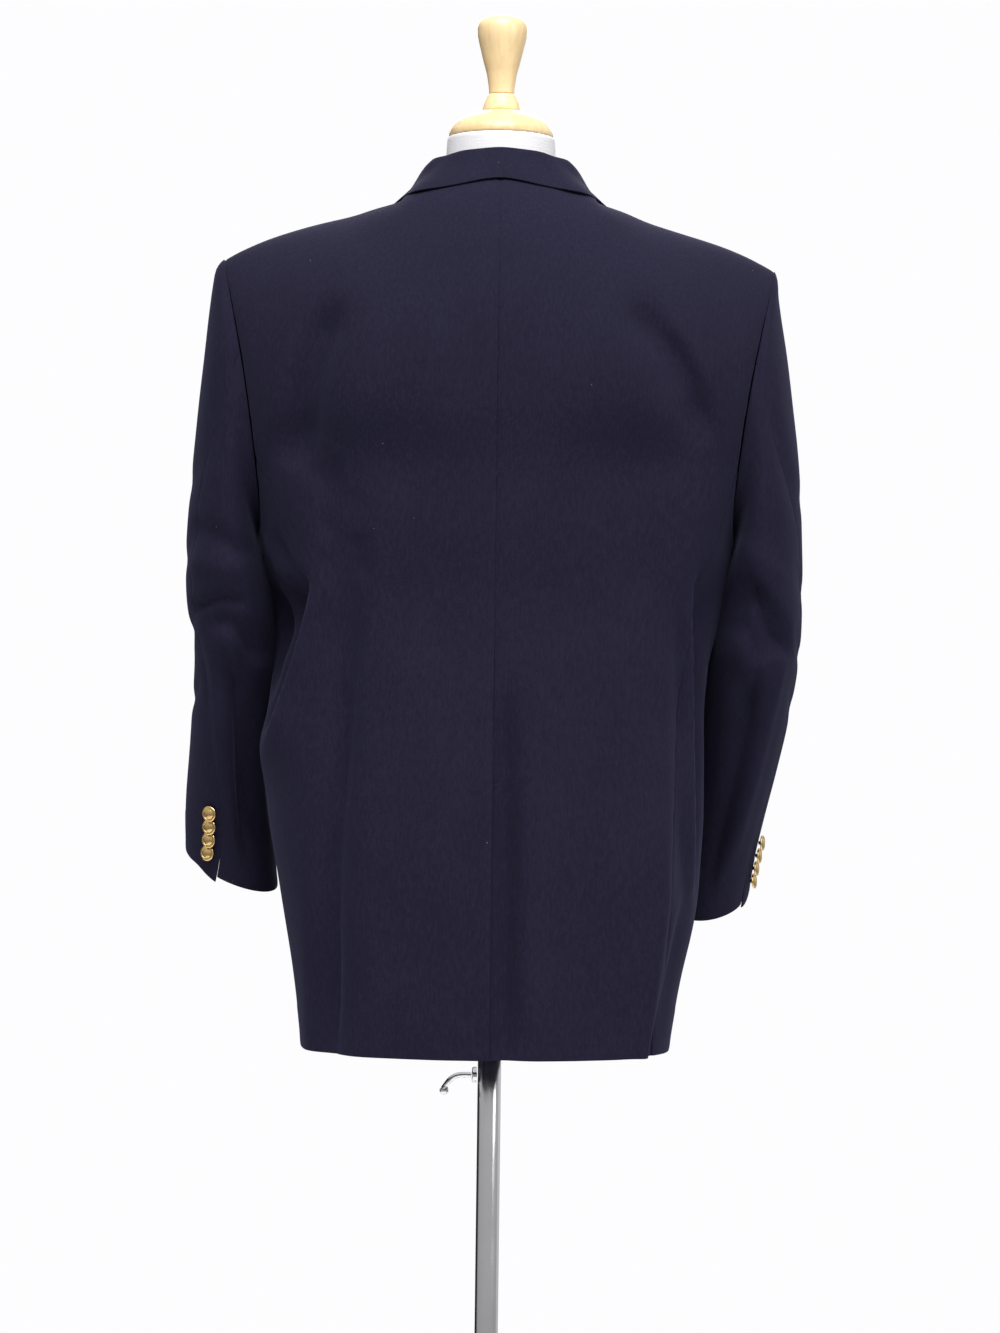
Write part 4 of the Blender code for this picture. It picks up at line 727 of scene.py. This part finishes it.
def cut_size(grid):
    """A piece's width, length and area as it was cut, from its own grid."""
    lengths = np.linalg.norm(np.diff(grid, axis=0), axis=2).sum(0)
    widths = np.linalg.norm(np.diff(grid, axis=1), axis=2).sum(1)
    one = grid[1:, :-1] - grid[:-1, :-1]
    other = grid[:-1, 1:] - grid[:-1, :-1]
    area = np.linalg.norm(np.cross(one, other), axis=2).sum()
    width, length = float(widths.max()), float(lengths.max())
    return width, length, min(float(area), width * length)


def cloth_piece(node, coat, finish, spacing=None):
    """One piece of the coat, in the place of its node."""
    kind = kind_of(node)
    grid, sign = COAT[node]
    corner = {"back": GRIDS["back"][1] - 1, "front": 0}.get(kind)
    points = drawn(grid, spacing or coat.cloth_spacing, corner, node == "back_right")
    ways = ways_out(points, sign)
    relief = edge_relief(kind, node, points, coat) + crease_relief(node, points, ways, coat)
    if kind in SLEEVE_KINDS:
        relief = relief + sleeve_head(points) + soft_waves(points * 1.6, coat)
    elif kind != "collar":
        relief = relief + soft_waves(points, coat)
    points = points + ways * relief[..., None]
    if kind == "lapel":
        points = rolled(points, sign)
    if kind == "collar":
        _, from_edge = run(points, 1)
        points = points - ways * (COLLAR_CLOSE * bell(from_edge, COLLAR_CLOSE_WIDTH))[..., None]
    made = panel("cloth_" + node, points, sign, coat.cloth_thickness, finish)
    stand_for(made, "form", node)
    width, length, area = cut_size(grid)


def sleeve_head(points):
    """The fullness that is eased into the top of the armhole."""
    away, _ = run(points, 0)
    high = ease((points[:1, :, 2] - HEAD_FROM[0]) / HEAD_FROM[1])
    return HEAD_FULLNESS * bell(away - HEAD_PLACE[0], HEAD_PLACE[1]) * high


def rolled(points, sign):
    """A lapel with its first edge rolled inward, round the edge of the front that it lies on."""
    ways = ways_out(points, sign)
    edge, way = points[:, 0], ways[:, 0]
    back = edge - points[:, 2]
    back = back / np.linalg.norm(back, axis=1, keepdims=True)
    extra = []
    for k in range(ROLL_STEPS, 0, -1):
        turn = math.radians(ROLL_STEP * k)
        extra.append(edge + ROLL_RADIUS * (back * math.sin(turn) - way * (1 - math.cos(turn))))
    return np.concatenate((np.stack(extra, axis=1), points), axis=1)


# ---------------------------------------------------------------- finishes


class Level:
    """A number that varies over a surface. Arithmetic on it adds the Math nodes."""

    def __init__(self, graph, socket):
        self.graph = graph
        self.socket = socket

    def __add__(self, other):
        return self.graph.math("ADD", self, other)

    __radd__ = __add__

    def __sub__(self, other):
        return self.graph.math("SUBTRACT", self, other)

    def __rsub__(self, other):
        return self.graph.math("SUBTRACT", other, self)

    def __mul__(self, other):
        return self.graph.math("MULTIPLY", self, other)

    __rmul__ = __mul__


class Graph:
    """A tree of nodes, put together by type, settings, and the values or links of their sockets."""

    def __init__(self, tree):
        self.tree = tree

    def node(self, kind, settings=None, sockets=None):
        made = self.tree.nodes.new(kind)
        for name, value in (settings or {}).items():
            if name == "stops":
                for stop, (place, colour) in zip(made.color_ramp.elements, value):
                    stop.position, stop.color = place, colour
            else:
                setattr(made, name, value)
        for name, value in (sockets or {}).items():
            self.feed(made.inputs[name], value)
        return made

    def feed(self, socket, value):
        """Links a socket to a value that varies, or sets it to one that doesn't."""
        if isinstance(value, Level):
            value = value.socket
        if isinstance(value, bpy.types.NodeSocket):
            self.tree.links.new(value, socket)
        else:
            socket.default_value = value

    def math(self, operation, *values):
        made = self.node("ShaderNodeMath", {"operation": operation}, dict(enumerate(values)))
        return Level(self, made.outputs[0])

    def place(self, scale=None):
        """The point of the surface in the piece's own space, which may be scaled."""
        place = self.node("ShaderNodeTexCoord").outputs["Object"]
        if scale is None:
            return place
        return self.node("ShaderNodeMapping", None, {"Vector": place, "Scale": scale}).outputs[0]

    def axes(self, place):
        """The three numbers of a place or a direction."""
        split = self.node("ShaderNodeSeparateXYZ", None, {0: place})
        return [Level(self, axis) for axis in split.outputs]

    def noise(self, place, scale, detail=2.0, roughness=0.5):
        made = self.node("ShaderNodeTexNoise", None, {"Vector": place, "Scale": scale, "Detail": detail,
                                                      "Roughness": roughness})
        return Level(self, made.outputs[0])

    def step(self, value, low, high, to_low=0.0, to_high=1.0):
        """A smooth step from one value to another."""
        made = self.node("ShaderNodeMapRange", {"interpolation_type": "SMOOTHSTEP"},
                         {0: value, 1: low, 2: high, 3: to_low, 4: to_high})
        return Level(self, made.outputs[0])

    def mix(self, first, second, share):
        """One colour turned into another."""
        made = self.node("ShaderNodeMix", {"data_type": "RGBA"}, {0: share, 6: first, 7: second})
        return made.outputs[2]


class Finish(Graph):
    """A material. Even values go straight onto the shader's sockets."""

    def __init__(self, name, even):
        self.material = bpy.data.materials.new(name)
        self.material.use_nodes = True
        super().__init__(self.material.node_tree)
        self.shader = self.tree.nodes["Principled BSDF"]
        for socket, value in even.items():
            self.shader.inputs[socket].default_value = value
        self.material.diffuse_color = even["Base Color"]

    def relief(self, height, distance):
        """A bump as high as this distance, in metres."""
        made = self.node("ShaderNodeBump", None, {"Height": height, "Distance": distance, "Strength": 1.0})
        self.feed(self.shader.inputs["Normal"], made.outputs[0])

    def paint(self, **varying):
        """Feeds what changes over the surface, and gives the finished material."""
        for name, value in varying.items():
            self.feed(self.shader.inputs[name.replace("_", " ")], value)
        return self.material


def shade(colour, share):
    """A colour made darker or lighter."""
    return (*(part * share for part in colour[:3]), 1.0)


def wool(look):
    """Napped navy wool with a fine twill, and the odd speck of lint."""
    colour = look.wool_colour
    finish = Finish("navy_wool", {
        "Base Color": (*colour, 1), "Roughness": 0.9, "Specular IOR Level": 0.06, "Sheen Weight": 0.08,
        "Sheen Roughness": 0.45, "Sheen Tint": (0.42, 0.42, 0.74, 1)})
    place = finish.place()
    mottle = finish.noise(place, 14, 4)
    slub = finish.noise(finish.place((420, 420, 130)), 1, 2)
    nap = finish.noise(place, 900, 3, 0.7)
    x, y, z = finish.axes(place)
    twill = finish.math("SINE", (x * 0.58 + y * 0.37 + z * 0.73) * (2 * math.pi / 0.0011))
    value = mottle * 0.16 + slub * 0.34 + nap * 0.50
    cloth = finish.mix(shade(colour, 0.72), shade(colour, 1.35), finish.step(value, 0.35, 0.85))
    cells = finish.node("ShaderNodeTexVoronoi", None, {"Vector": place, "Scale": 34, "Randomness": 1.0})
    chance = finish.noise(place, 7, 0)
    speck = finish.step(Level(finish, cells.outputs["Distance"]), 0.012, 0.022, 1, 0)
    speck = speck * finish.step(chance, 0.50, 0.53)
    cloth = finish.mix(cloth, (0.30, 0.29, 0.30, 1), speck * 0.55)
    finish.relief(nap * 0.6 + slub * 0.5 + twill * 0.10 + speck * 0.8, 0.00022)
    return finish.paint(Base_Color=cloth, Roughness=finish.step(nap, 0.3, 0.7, 0.84, 0.96))


def brass(look):
    """Gilt metal, brighter where it rubs and duller in its hollows."""
    colour = look.brass_colour
    finish = Finish("gilt_brass", {"Base Color": (*colour, 1), "Metallic": 1.0, "Roughness": 0.24})
    place = finish.place()
    x, y, _ = finish.axes(place)
    radius = finish.math("SQRT", x * x + y * y)
    hollow = finish.step(finish.math("ABSOLUTE", radius - 0.0052), 0.0, 0.0008, 1, 0)
    tarnish = finish.noise(place, 380, 3)
    dull = hollow * 0.7 + finish.step(tarnish, 0.5, 0.8) * 0.25
    paint = finish.mix((*colour, 1), shade(colour, 0.42), dull)
    finish.relief(finish.noise(place, 1500, 2), 0.00003)
    return finish.paint(Base_Color=paint, Roughness=finish.step(tarnish, 0.3, 0.8, 0.18, 0.36))


def linen(look):
    """Off-white woven cover of the form."""
    colour = look.linen_colour
    finish = Finish("form_linen", {"Base Color": (*colour, 1), "Roughness": 0.9, "Specular IOR Level": 0.2,
                                   "Sheen Weight": 0.1})
    place = finish.place()
    warp = finish.noise(finish.place((900, 900, 60)), 1, 2)
    weft = finish.noise(finish.place((60, 60, 900)), 1, 2)
    tone = finish.noise(place, 6, 3)
    paint = finish.mix(shade(colour, 0.86), shade(colour, 1.04), warp * 0.4 + weft * 0.4 + tone * 0.2)
    finish.relief(warp + weft, 0.0002)
    return finish.paint(Base_Color=paint, Roughness=finish.step(tone, 0.3, 0.7, 0.84, 0.94))


def maple(look):
    """Pale turned wood under a satin varnish."""
    colour = look.wood_colour
    finish = Finish("turned_maple", {"Base Color": (*colour, 1), "Roughness": 0.35, "Coat Weight": 0.35,
                                     "Coat Roughness": 0.18})
    grain = finish.noise(finish.place((160, 160, 9)), 1, 5, 0.6)
    rings = finish.noise(finish.place((34, 34, 3)), 1, 3)
    flecks = finish.noise(finish.place((700, 700, 60)), 1, 2)
    share = finish.step(grain * 0.55 + rings * 0.45, 0.35, 0.68)
    late = (colour[0] * 0.86, colour[1] * 0.72, colour[2] * 0.55, 1)
    fleck = (colour[0] * 0.7, colour[1] * 0.5, colour[2] * 0.34, 1)
    paint = finish.mix(shade(colour, 1.06), late, share * 0.6)
    paint = finish.mix(paint, fleck, finish.step(flecks, 0.62, 0.74) * 0.35)
    finish.relief(grain * 0.5 + flecks * 0.5, 0.00006)
    return finish.paint(Base_Color=paint, Roughness=finish.step(grain, 0.3, 0.7, 0.28, 0.42))


def steel(look):
    """Polished steel with faint lengthwise scratches."""
    colour = look.steel_colour
    finish = Finish("polished_steel", {"Base Color": (*colour, 1), "Metallic": 1.0, "Roughness": 0.14})
    scratches = finish.noise(finish.place((800, 800, 30)), 1, 3)
    smears = finish.noise(finish.place(), 25, 3)
    paint = finish.mix(shade(colour, 0.92), (*colour, 1), smears)
    finish.relief(scratches, 0.00002)
    wear = smears * 0.6 + scratches * 0.4
    return finish.paint(Base_Color=paint, Roughness=finish.step(wear, 0.3, 0.7, 0.10, 0.20))


FINISHES = {}


def finish_of(name, make, look):
    """Each finish is made once."""
    if name not in FINISHES:
        FINISHES[name] = make(look)
    return FINISHES[name]


# ---------------------------------------------------------------- turning and lofting


def turned(name, profile, finish, steps=96, axis=None):
    """A turned piece from its profile, run from top to bottom."""
    points = [(radius * MM, 0.0, height * MM) for radius, height in profile]
    mesh = bpy.data.meshes.new(name)
    mesh.from_pydata(points, [(k, k + 1) for k in range(len(points) - 1)], [])
    made = link(name, mesh, finish)
    lathe = made.modifiers.new("lathe", "SCREW")
    lathe.axis = "Z"
    lathe.steps = steps
    lathe.render_steps = steps
    lathe.use_merge_vertices = True
    lathe.merge_threshold = WELD
    lathe.use_smooth_shade = True
    split = made.modifiers.new("edges", "EDGE_SPLIT")
    split.split_angle = math.radians(50)
    if axis is not None:
        made.matrix_world = axis
    return made


def smoothed(profile, fineness=4):
    """A turner's profile with its curves filled in, except for the straight runs to the axis."""
    inner = np.array(profile[1:-1])
    line = filled(len(inner), fineness) @ inner
    return [profile[0], *line, profile[-1]]


def corners_of(node):
    """The CAD node's corners, each once, to the micrometre."""
    return np.unique(np.round([v.co[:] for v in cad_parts[node].data.vertices], 6), axis=0)


def ring_grid(node, spacing, dense_above):
    """The rings of a lofted node, from the lowest, each sorted round from the front."""
    points = corners_of(node)
    rings, last = [], -1.0
    for height in np.unique(points[:, 2]):
        if height - last < spacing and height < dense_above:
            continue
        ring = points[points[:, 2] == height]
        last = height
        rings.append(ring[np.argsort(np.arctan2(ring[:, 0], -ring[:, 1]))])
    count = max(len(ring) for ring in rings)
    return np.array([ring for ring in rings if len(ring) == count])


def form_body(finish):
    """The dress form's linen covered body, with its sewn seams."""
    rings = ring_grid("torso", FORM_RINGS, SHOULDER_HEIGHT)
    around = np.concatenate((rings[:, -FORM_OVERLAP:], rings, rings[:, :FORM_OVERLAP]), axis=1)
    count = rings.shape[1]
    across = spline(around.shape[1], FORM_OVERLAP + np.linspace(0, count, 4 * count, endpoint=False))
    up = filled(len(rings), 6)
    points = np.einsum("ij,kjc->kic", across, np.einsum("ij,jkc->ikc", up, around))
    closed = np.concatenate((points, points[:, :1]), axis=1)
    ways = ways_out(closed, 1)[:, :-1]
    turn = np.arctan2(points[..., 0], -points[..., 1])
    radius = np.hypot(points[..., 0], points[..., 1])
    sink = np.zeros(turn.shape)
    for seam in FORM_SEAMS:
        sink += bell((turn - seam) * radius, FORM_SEAM_WIDTH)
    points = points - ways * (FORM_SEAM_DEPTH * np.minimum(sink, 1))[..., None]
    faces = band(*points.shape[:2]) + ends(*points.shape[:2])
    mesh = bpy.data.meshes.new("linen_body")
    mesh.from_pydata(points.reshape(-1, 3).tolist(), [], faces)
    mesh.shade_smooth()
    made = link("linen_body", mesh, finish)
    edge = made.modifiers.new("edge", "BEVEL")
    edge.width = 0.003
    edge.segments = 3
    edge.angle_limit = math.radians(50)
    stand_for(made, "form", "torso")


def button_place(node):
    """Where a button's shank meets the cloth and the way its face looks, from its CAD solid."""
    points = corners_of(node)
    centre = points.mean(0)
    _, ways = np.linalg.eigh(np.cov((points - centre).T))
    axis = ways[:, 0]
    heights = (points - centre) @ axis
    if (heights ** 3).sum() > 0:
        axis, heights = -axis, -heights
    top = Vector((0, 0, 1)) - Vector(axis) * axis[2]
    radius = float(np.linalg.norm((points - centre) - np.outer(heights, axis), axis=1).max())
    return Vector(centre + axis * heights.min()), Vector(axis), top.normalized(), radius


def button(node, finish):
    """A domed metal button with a milled rim on its shank, in the place of its node."""
    foot, axis, top, radius = button_place(node)
    points = []
    for share, height in BUTTON:
        milled = MILLED_SHARES[0] < share < MILLED_SHARES[1] and height > MILLED_FROM
        for k in range(BUTTON_STEPS):
            turn = 2 * math.pi * k / BUTTON_STEPS
            tooth = MILLED_DEPTH * math.sin(MILLED_TEETH * turn + 3 * share) if milled else 0.0
            points.append((radius * share * math.cos(turn), radius * share * math.sin(turn),
                           height * MM + tooth))
    made = solid("brass_" + node, points, band(len(BUTTON), BUTTON_STEPS), finish)
    side = top.cross(axis)
    made.matrix_world = Matrix.Translation(foot) @ Matrix((side, top, axis)).transposed().to_4x4()
    stand_for(made, "form", node)


def tube(name, path, radii, finish, sides=32):
    """A round bar along a path of points, closed at both ends."""
    fine = filled(len(path), 8)
    line, radii = fine @ np.array(path), np.maximum(fine @ np.array(radii), LEAST_RADIUS)
    ways = np.gradient(line, axis=0)
    ways = ways / np.linalg.norm(ways, axis=1, keepdims=True)
    points = []
    for place, way, radius in zip(line, ways, radii):
        one = np.array((0.0, 1.0, 0.0))
        other = np.cross(way, one)
        for k in range(sides):
            turn = 2 * math.pi * k / sides
            points.append(place + radius * (one * math.cos(turn) + other * math.sin(turn)))
    return solid(name, points, band(len(line), sides) + ends(len(line), sides), finish)


# ---------------------------------------------------------------- settings


class CoatSettings(bpy.types.PropertyGroup):
    """Sizes and colours of the coat."""
    cloth_spacing: bpy.props.FloatProperty(
        name="Spacing", description="Distance between the cloth's points", default=0.0050, min=0.002,
        unit="LENGTH")
    cloth_thickness: bpy.props.FloatProperty(
        name="Thickness", description="Thickness of the wool with its backing", unit="LENGTH",
        default=0.0016, min=0.0005)
    seam_depth: bpy.props.FloatProperty(
        name="Seam depth", description="How far a seam is pressed in", default=0.0008, unit="LENGTH")
    crease_strength: bpy.props.FloatProperty(
        name="Creases", description="Share of the creases' full height", default=1.0, min=0.0, max=2.0,
        subtype="FACTOR")
    waviness: bpy.props.FloatProperty(
        name="Waviness", description="Height of the cloth's slight unevenness", default=0.0003,
        unit="LENGTH")
    wool_colour: bpy.props.FloatVectorProperty(
        name="Wool", description="Colour of the cloth", subtype="COLOR", default=(0.0184, 0.0166, 0.0352),
        min=0, max=1)
    brass_colour: bpy.props.FloatVectorProperty(
        name="Buttons", description="Colour of the buttons' metal", subtype="COLOR",
        default=(0.83, 0.58, 0.24), min=0, max=1)


class FormSettings(bpy.types.PropertyGroup):
    """Colours of the dress form and its stand."""
    linen_colour: bpy.props.FloatVectorProperty(
        name="Linen", description="Colour of the form's cover", subtype="COLOR",
        default=(0.88, 0.87, 0.89), min=0, max=1)
    wood_colour: bpy.props.FloatVectorProperty(
        name="Wood", description="Colour of the cap and finial", subtype="COLOR",
        default=(0.93, 0.72, 0.40), min=0, max=1)
    steel_colour: bpy.props.FloatVectorProperty(
        name="Steel", description="Colour of the stand", subtype="COLOR", default=(0.78, 0.78, 0.79),
        min=0, max=1)


class StageSettings(bpy.types.PropertyGroup):
    """The camera, the light and the floor."""
    camera_distance: bpy.props.FloatProperty(
        name="Distance", description="From the camera to the pole", default=3.14, unit="LENGTH")
    camera_height: bpy.props.FloatProperty(
        name="Height", description="Height of the camera", default=1.10, unit="LENGTH")
    camera_roll: bpy.props.FloatProperty(
        name="Roll", description="How far the photograph leans", default=math.radians(0.72),
        unit="ROTATION")
    key_power: bpy.props.FloatProperty(
        name="Key", description="Power of the overhead light in watts", default=66.0, min=0)
    surround: bpy.props.FloatProperty(
        name="Surround", description="Brightness of the white surround", default=0.55, min=0)
    backdrop: bpy.props.FloatVectorProperty(
        name="Backdrop", description="Colour behind the coat", subtype="COLOR",
        default=(0.985, 0.980, 0.995), min=0, max=1)


# ---------------------------------------------------------------- operators


class ClothOperator:
    """What the operators of the coat's cloth share."""
    nodes = ()
    held = "hung"
    rests_on = ("torso",)
    spacing = None
    bl_options = {"REGISTER", "UNDO"}

    def execute(self, context):
        coat = context.scene.coat_settings
        finish = finish_of("wool", wool, coat)
        for node in self.nodes:
            cloth_piece(node, coat, finish, self.spacing)
        return {"FINISHED"}


class COAT_OT_backs(ClothOperator, bpy.types.Operator):
    """Build the two backs with their centre seam and vent"""
    bl_idname = "coat.backs"
    bl_label = "Backs"
    nodes = ("back_left", "back_right")


class COAT_OT_sides(ClothOperator, bpy.types.Operator):
    """Build the side panels under the arms"""
    bl_idname = "coat.sides"
    bl_label = "Side panels"
    nodes = ("side_left", "side_right")


class COAT_OT_fronts(ClothOperator, bpy.types.Operator):
    """Build the two fronts, left over right"""
    bl_idname = "coat.fronts"
    bl_label = "Fronts"
    nodes = ("front_left", "front_right")


class COAT_OT_lapels(ClothOperator, bpy.types.Operator):
    """Build the lapels, rolled over the fronts"""
    bl_idname = "coat.lapels"
    bl_label = "Lapels"
    nodes = ("lapel_left", "lapel_right")
    held = "folded"
    rests_on = ("front_left", "front_right")


class COAT_OT_collar(ClothOperator, bpy.types.Operator):
    """Build the collar, its stand and fall in one"""
    bl_idname = "coat.collar"
    bl_label = "Collar"
    nodes = ("collar",)
    held = "folded"
    rests_on = ("back_left", "back_right", "front_left", "front_right")
    spacing = 0.0035


class COAT_OT_sleeves(ClothOperator, bpy.types.Operator):
    """Build the two-piece sleeves"""
    bl_idname = "coat.sleeves"
    bl_label = "Sleeves"
    nodes = ("top_sleeve_left", "under_sleeve_left", "top_sleeve_right", "under_sleeve_right")
    rests_on = ("back_left", "back_right", "front_left", "front_right")


class COAT_OT_pockets(ClothOperator, bpy.types.Operator):
    """Build the hip pockets' flaps and the breast pocket's welt"""
    bl_idname = "coat.pockets"
    bl_label = "Flaps and welt"
    nodes = ("flap_left", "flap_right", "welt")
    held = "laid"
    rests_on = ("front_left", "front_right")


class COAT_OT_buttons(bpy.types.Operator):
    """Build the metal buttons of the front and the cuffs"""
    bl_idname = "coat.buttons"
    bl_label = "Buttons"

    def execute(self, context):
        finish = finish_of("brass", brass, context.scene.coat_settings)
        for node in sorted(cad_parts):
            if "button" in node:
                button(node, finish)
        return {"FINISHED"}


class COAT_OT_form(bpy.types.Operator):
    """Build the dress form's body and neck"""
    bl_idname = "coat.form"
    bl_label = "Dress form"

    def execute(self, context):
        finish = finish_of("linen", linen, context.scene.form_settings)
        form_body(finish)
        made = turned("linen_neck", NECK, finish)
        stand_for(made, "form", "neck")
        return {"FINISHED"}


class COAT_OT_wood(bpy.types.Operator):
    """Turn the form's wooden cap, bead and finial"""
    bl_idname = "coat.wood"
    bl_label = "Turned wood"

    def execute(self, context):
        finish = finish_of("maple", maple, context.scene.form_settings)
        for node, profile in (("finial", FINIAL), ("neck_bead", BEAD), ("neck_cap", CAP)):
            made = turned("turned_" + node, smoothed(profile), finish)
            stand_for(made, "form", node)
        return {"FINISHED"}


class COAT_OT_stand(bpy.types.Operator):
    """Build the pole, its sliding rod, the clamp and the base"""
    bl_idname = "coat.stand"
    bl_label = "Stand"

    def execute(self, context):
        finish = finish_of("steel", steel, context.scene.form_settings)
        sideways = Matrix.Translation((0, 0, BOSS_HEIGHT)) @ Matrix.Rotation(math.pi / 2, 4, "Y")
        for node, body, profile, axis in (("rod", "rod", ROD, None), ("pole", "stand", POLE, None),
                                          ("base", "stand", BASE, None),
                                          ("pole_boss", "stand", BOSS, sideways)):
            made = turned("steel_" + node, profile, finish, axis=axis)
            stand_for(made, body, node)
        line = list(LEVER)
        for turn in np.linspace(*BALL_TURN, BALL_RINGS) * math.pi:
            line.append((BALL_PLACE[0], BALL_PLACE[1] + BALL_RADIUS * math.cos(turn),
                         BALL_RADIUS * math.sin(turn)))
        path = [(x * MM, 0, BOSS_HEIGHT + height * MM) for x, height, _ in line]
        made = tube("steel_lever", path, [radius * MM for _, _, radius in line], finish)
        stand_for(made, "lever", "lever")
        return {"FINISHED"}


class COAT_OT_stage(bpy.types.Operator):
    """Set up the floor, the surround, the light and the camera"""
    bl_idname = "coat.stage"
    bl_label = "Stage"

    def execute(self, context):
        stage = context.scene.stage_settings
        floor_of(stage)
        surround_of(stage)
        lights_of(stage)
        camera_of(stage)
        context.scene.view_settings.view_transform = "Standard"
        return {"FINISHED"}


def floor_of(stage):
    """A pale round floor."""
    mesh = bpy.data.meshes.new("floor")
    work = bmesh.new()
    bmesh.ops.create_circle(work, cap_ends=True, segments=96, radius=FLOOR_RADIUS)
    work.to_mesh(mesh)
    work.free()
    finish = Finish("pale_floor", {"Base Color": (*stage.backdrop, 1), "Roughness": 0.8})
    made = link("floor", mesh, finish.material)
    made.location.z = -FLOOR_DROP


def surround_of(stage):
    """A white surround, darker toward the floor for the light that it gives, and with a dark and a bright
    side in front of the coat, which the polished pole mirrors."""
    world = bpy.data.worlds.new("surround")
    bpy.context.scene.world = world
    world.use_nodes = True
    graph = Graph(world.node_tree)
    x, y, z = graph.axes(graph.node("ShaderNodeTexCoord").outputs["Generated"])
    glow = graph.node("ShaderNodeValToRGB", {"stops": SURROUND_STOPS}, {0: z * 0.5 + 0.5}).outputs[0]
    level = graph.step(graph.math("ABSOLUTE", z), 0.25, 0.45, 1, 0) * graph.step(y, -0.45, -0.15, 1, 0)
    share = stage.surround * (1 + level * graph.step(x, -0.1, 0.1, 0.7, -0.93))
    given = graph.mix((0, 0, 0, 1), glow, share)
    eye = graph.node("ShaderNodeLightPath").outputs["Is Camera Ray"]
    seen = graph.mix(given, (*stage.backdrop, 1), eye)
    graph.feed(world.node_tree.nodes["Background"].inputs[0], seen)


def lights_of(stage):
    """A broad light above and behind the coat, a weak one at its right and one above its front."""
    for name, place, size, share in LIGHTS:
        data = bpy.data.lights.new(name, "AREA")
        data.size = size
        data.energy = stage.key_power * share
        light = bpy.data.objects.new(name, data)
        bpy.context.scene.collection.objects.link(light)
        light.location = place
        light.rotation_mode = "QUATERNION"
        light.rotation_quaternion = (Vector((0, 0, AIM_HEIGHT)) - Vector(place)).to_track_quat("-Z", "Y")


def camera_of(stage):
    """The photograph's camera: level behind the coat, a long lens, leaning a little."""
    data = bpy.data.cameras.new("camera")
    data.lens = LENS
    data.sensor_width = SENSOR
    camera = bpy.data.objects.new("camera", data)
    bpy.context.scene.collection.objects.link(camera)
    camera.location = (CAMERA_ACROSS, stage.camera_distance, stage.camera_height)
    look = Vector((0, -1, 0)).to_track_quat("-Z", "Y").to_matrix()
    camera.rotation_mode = "QUATERNION"
    camera.rotation_quaternion = (look @ Matrix.Rotation(stage.camera_roll, 3, "Z")).to_quaternion()
    bpy.context.scene.camera = camera


class COAT_PT_panel(bpy.types.Panel):
    """Lists the coat's operators and settings"""
    bl_idname = "COAT_PT_panel"
    bl_label = "Sport coat"
    bl_space_type = "VIEW_3D"
    bl_region_type = "UI"
    bl_category = "Coat"

    def draw(self, context):
        for operator in OPERATORS:
            self.layout.operator(operator.bl_idname, text=operator.bl_label)
        for group in SETTINGS:
            settings = getattr(context.scene, group)
            for name in settings.__annotations__:
                self.layout.prop(settings, name)


OPERATORS = (COAT_OT_stage, COAT_OT_form, COAT_OT_wood, COAT_OT_stand, COAT_OT_backs, COAT_OT_sides,
             COAT_OT_fronts, COAT_OT_lapels, COAT_OT_collar, COAT_OT_sleeves, COAT_OT_pockets,
             COAT_OT_buttons)
SETTINGS = {"coat_settings": CoatSettings, "form_settings": FormSettings, "stage_settings": StageSettings}


def register():
    for part in (*SETTINGS.values(), *OPERATORS, COAT_PT_panel):
        bpy.utils.register_class(part)
    for name, group in SETTINGS.items():
        setattr(bpy.types.Scene, name, bpy.props.PointerProperty(type=group))


def unregister():
    for name in SETTINGS:
        delattr(bpy.types.Scene, name)
    for part in reversed((*SETTINGS.values(), *OPERATORS, COAT_PT_panel)):
        bpy.utils.unregister_class(part)


def main():
    register()
    for operator in OPERATORS:
        group, name = operator.bl_idname.split(".")
        getattr(getattr(bpy.ops, group), name)()


if __name__ == "__main__":
    main()
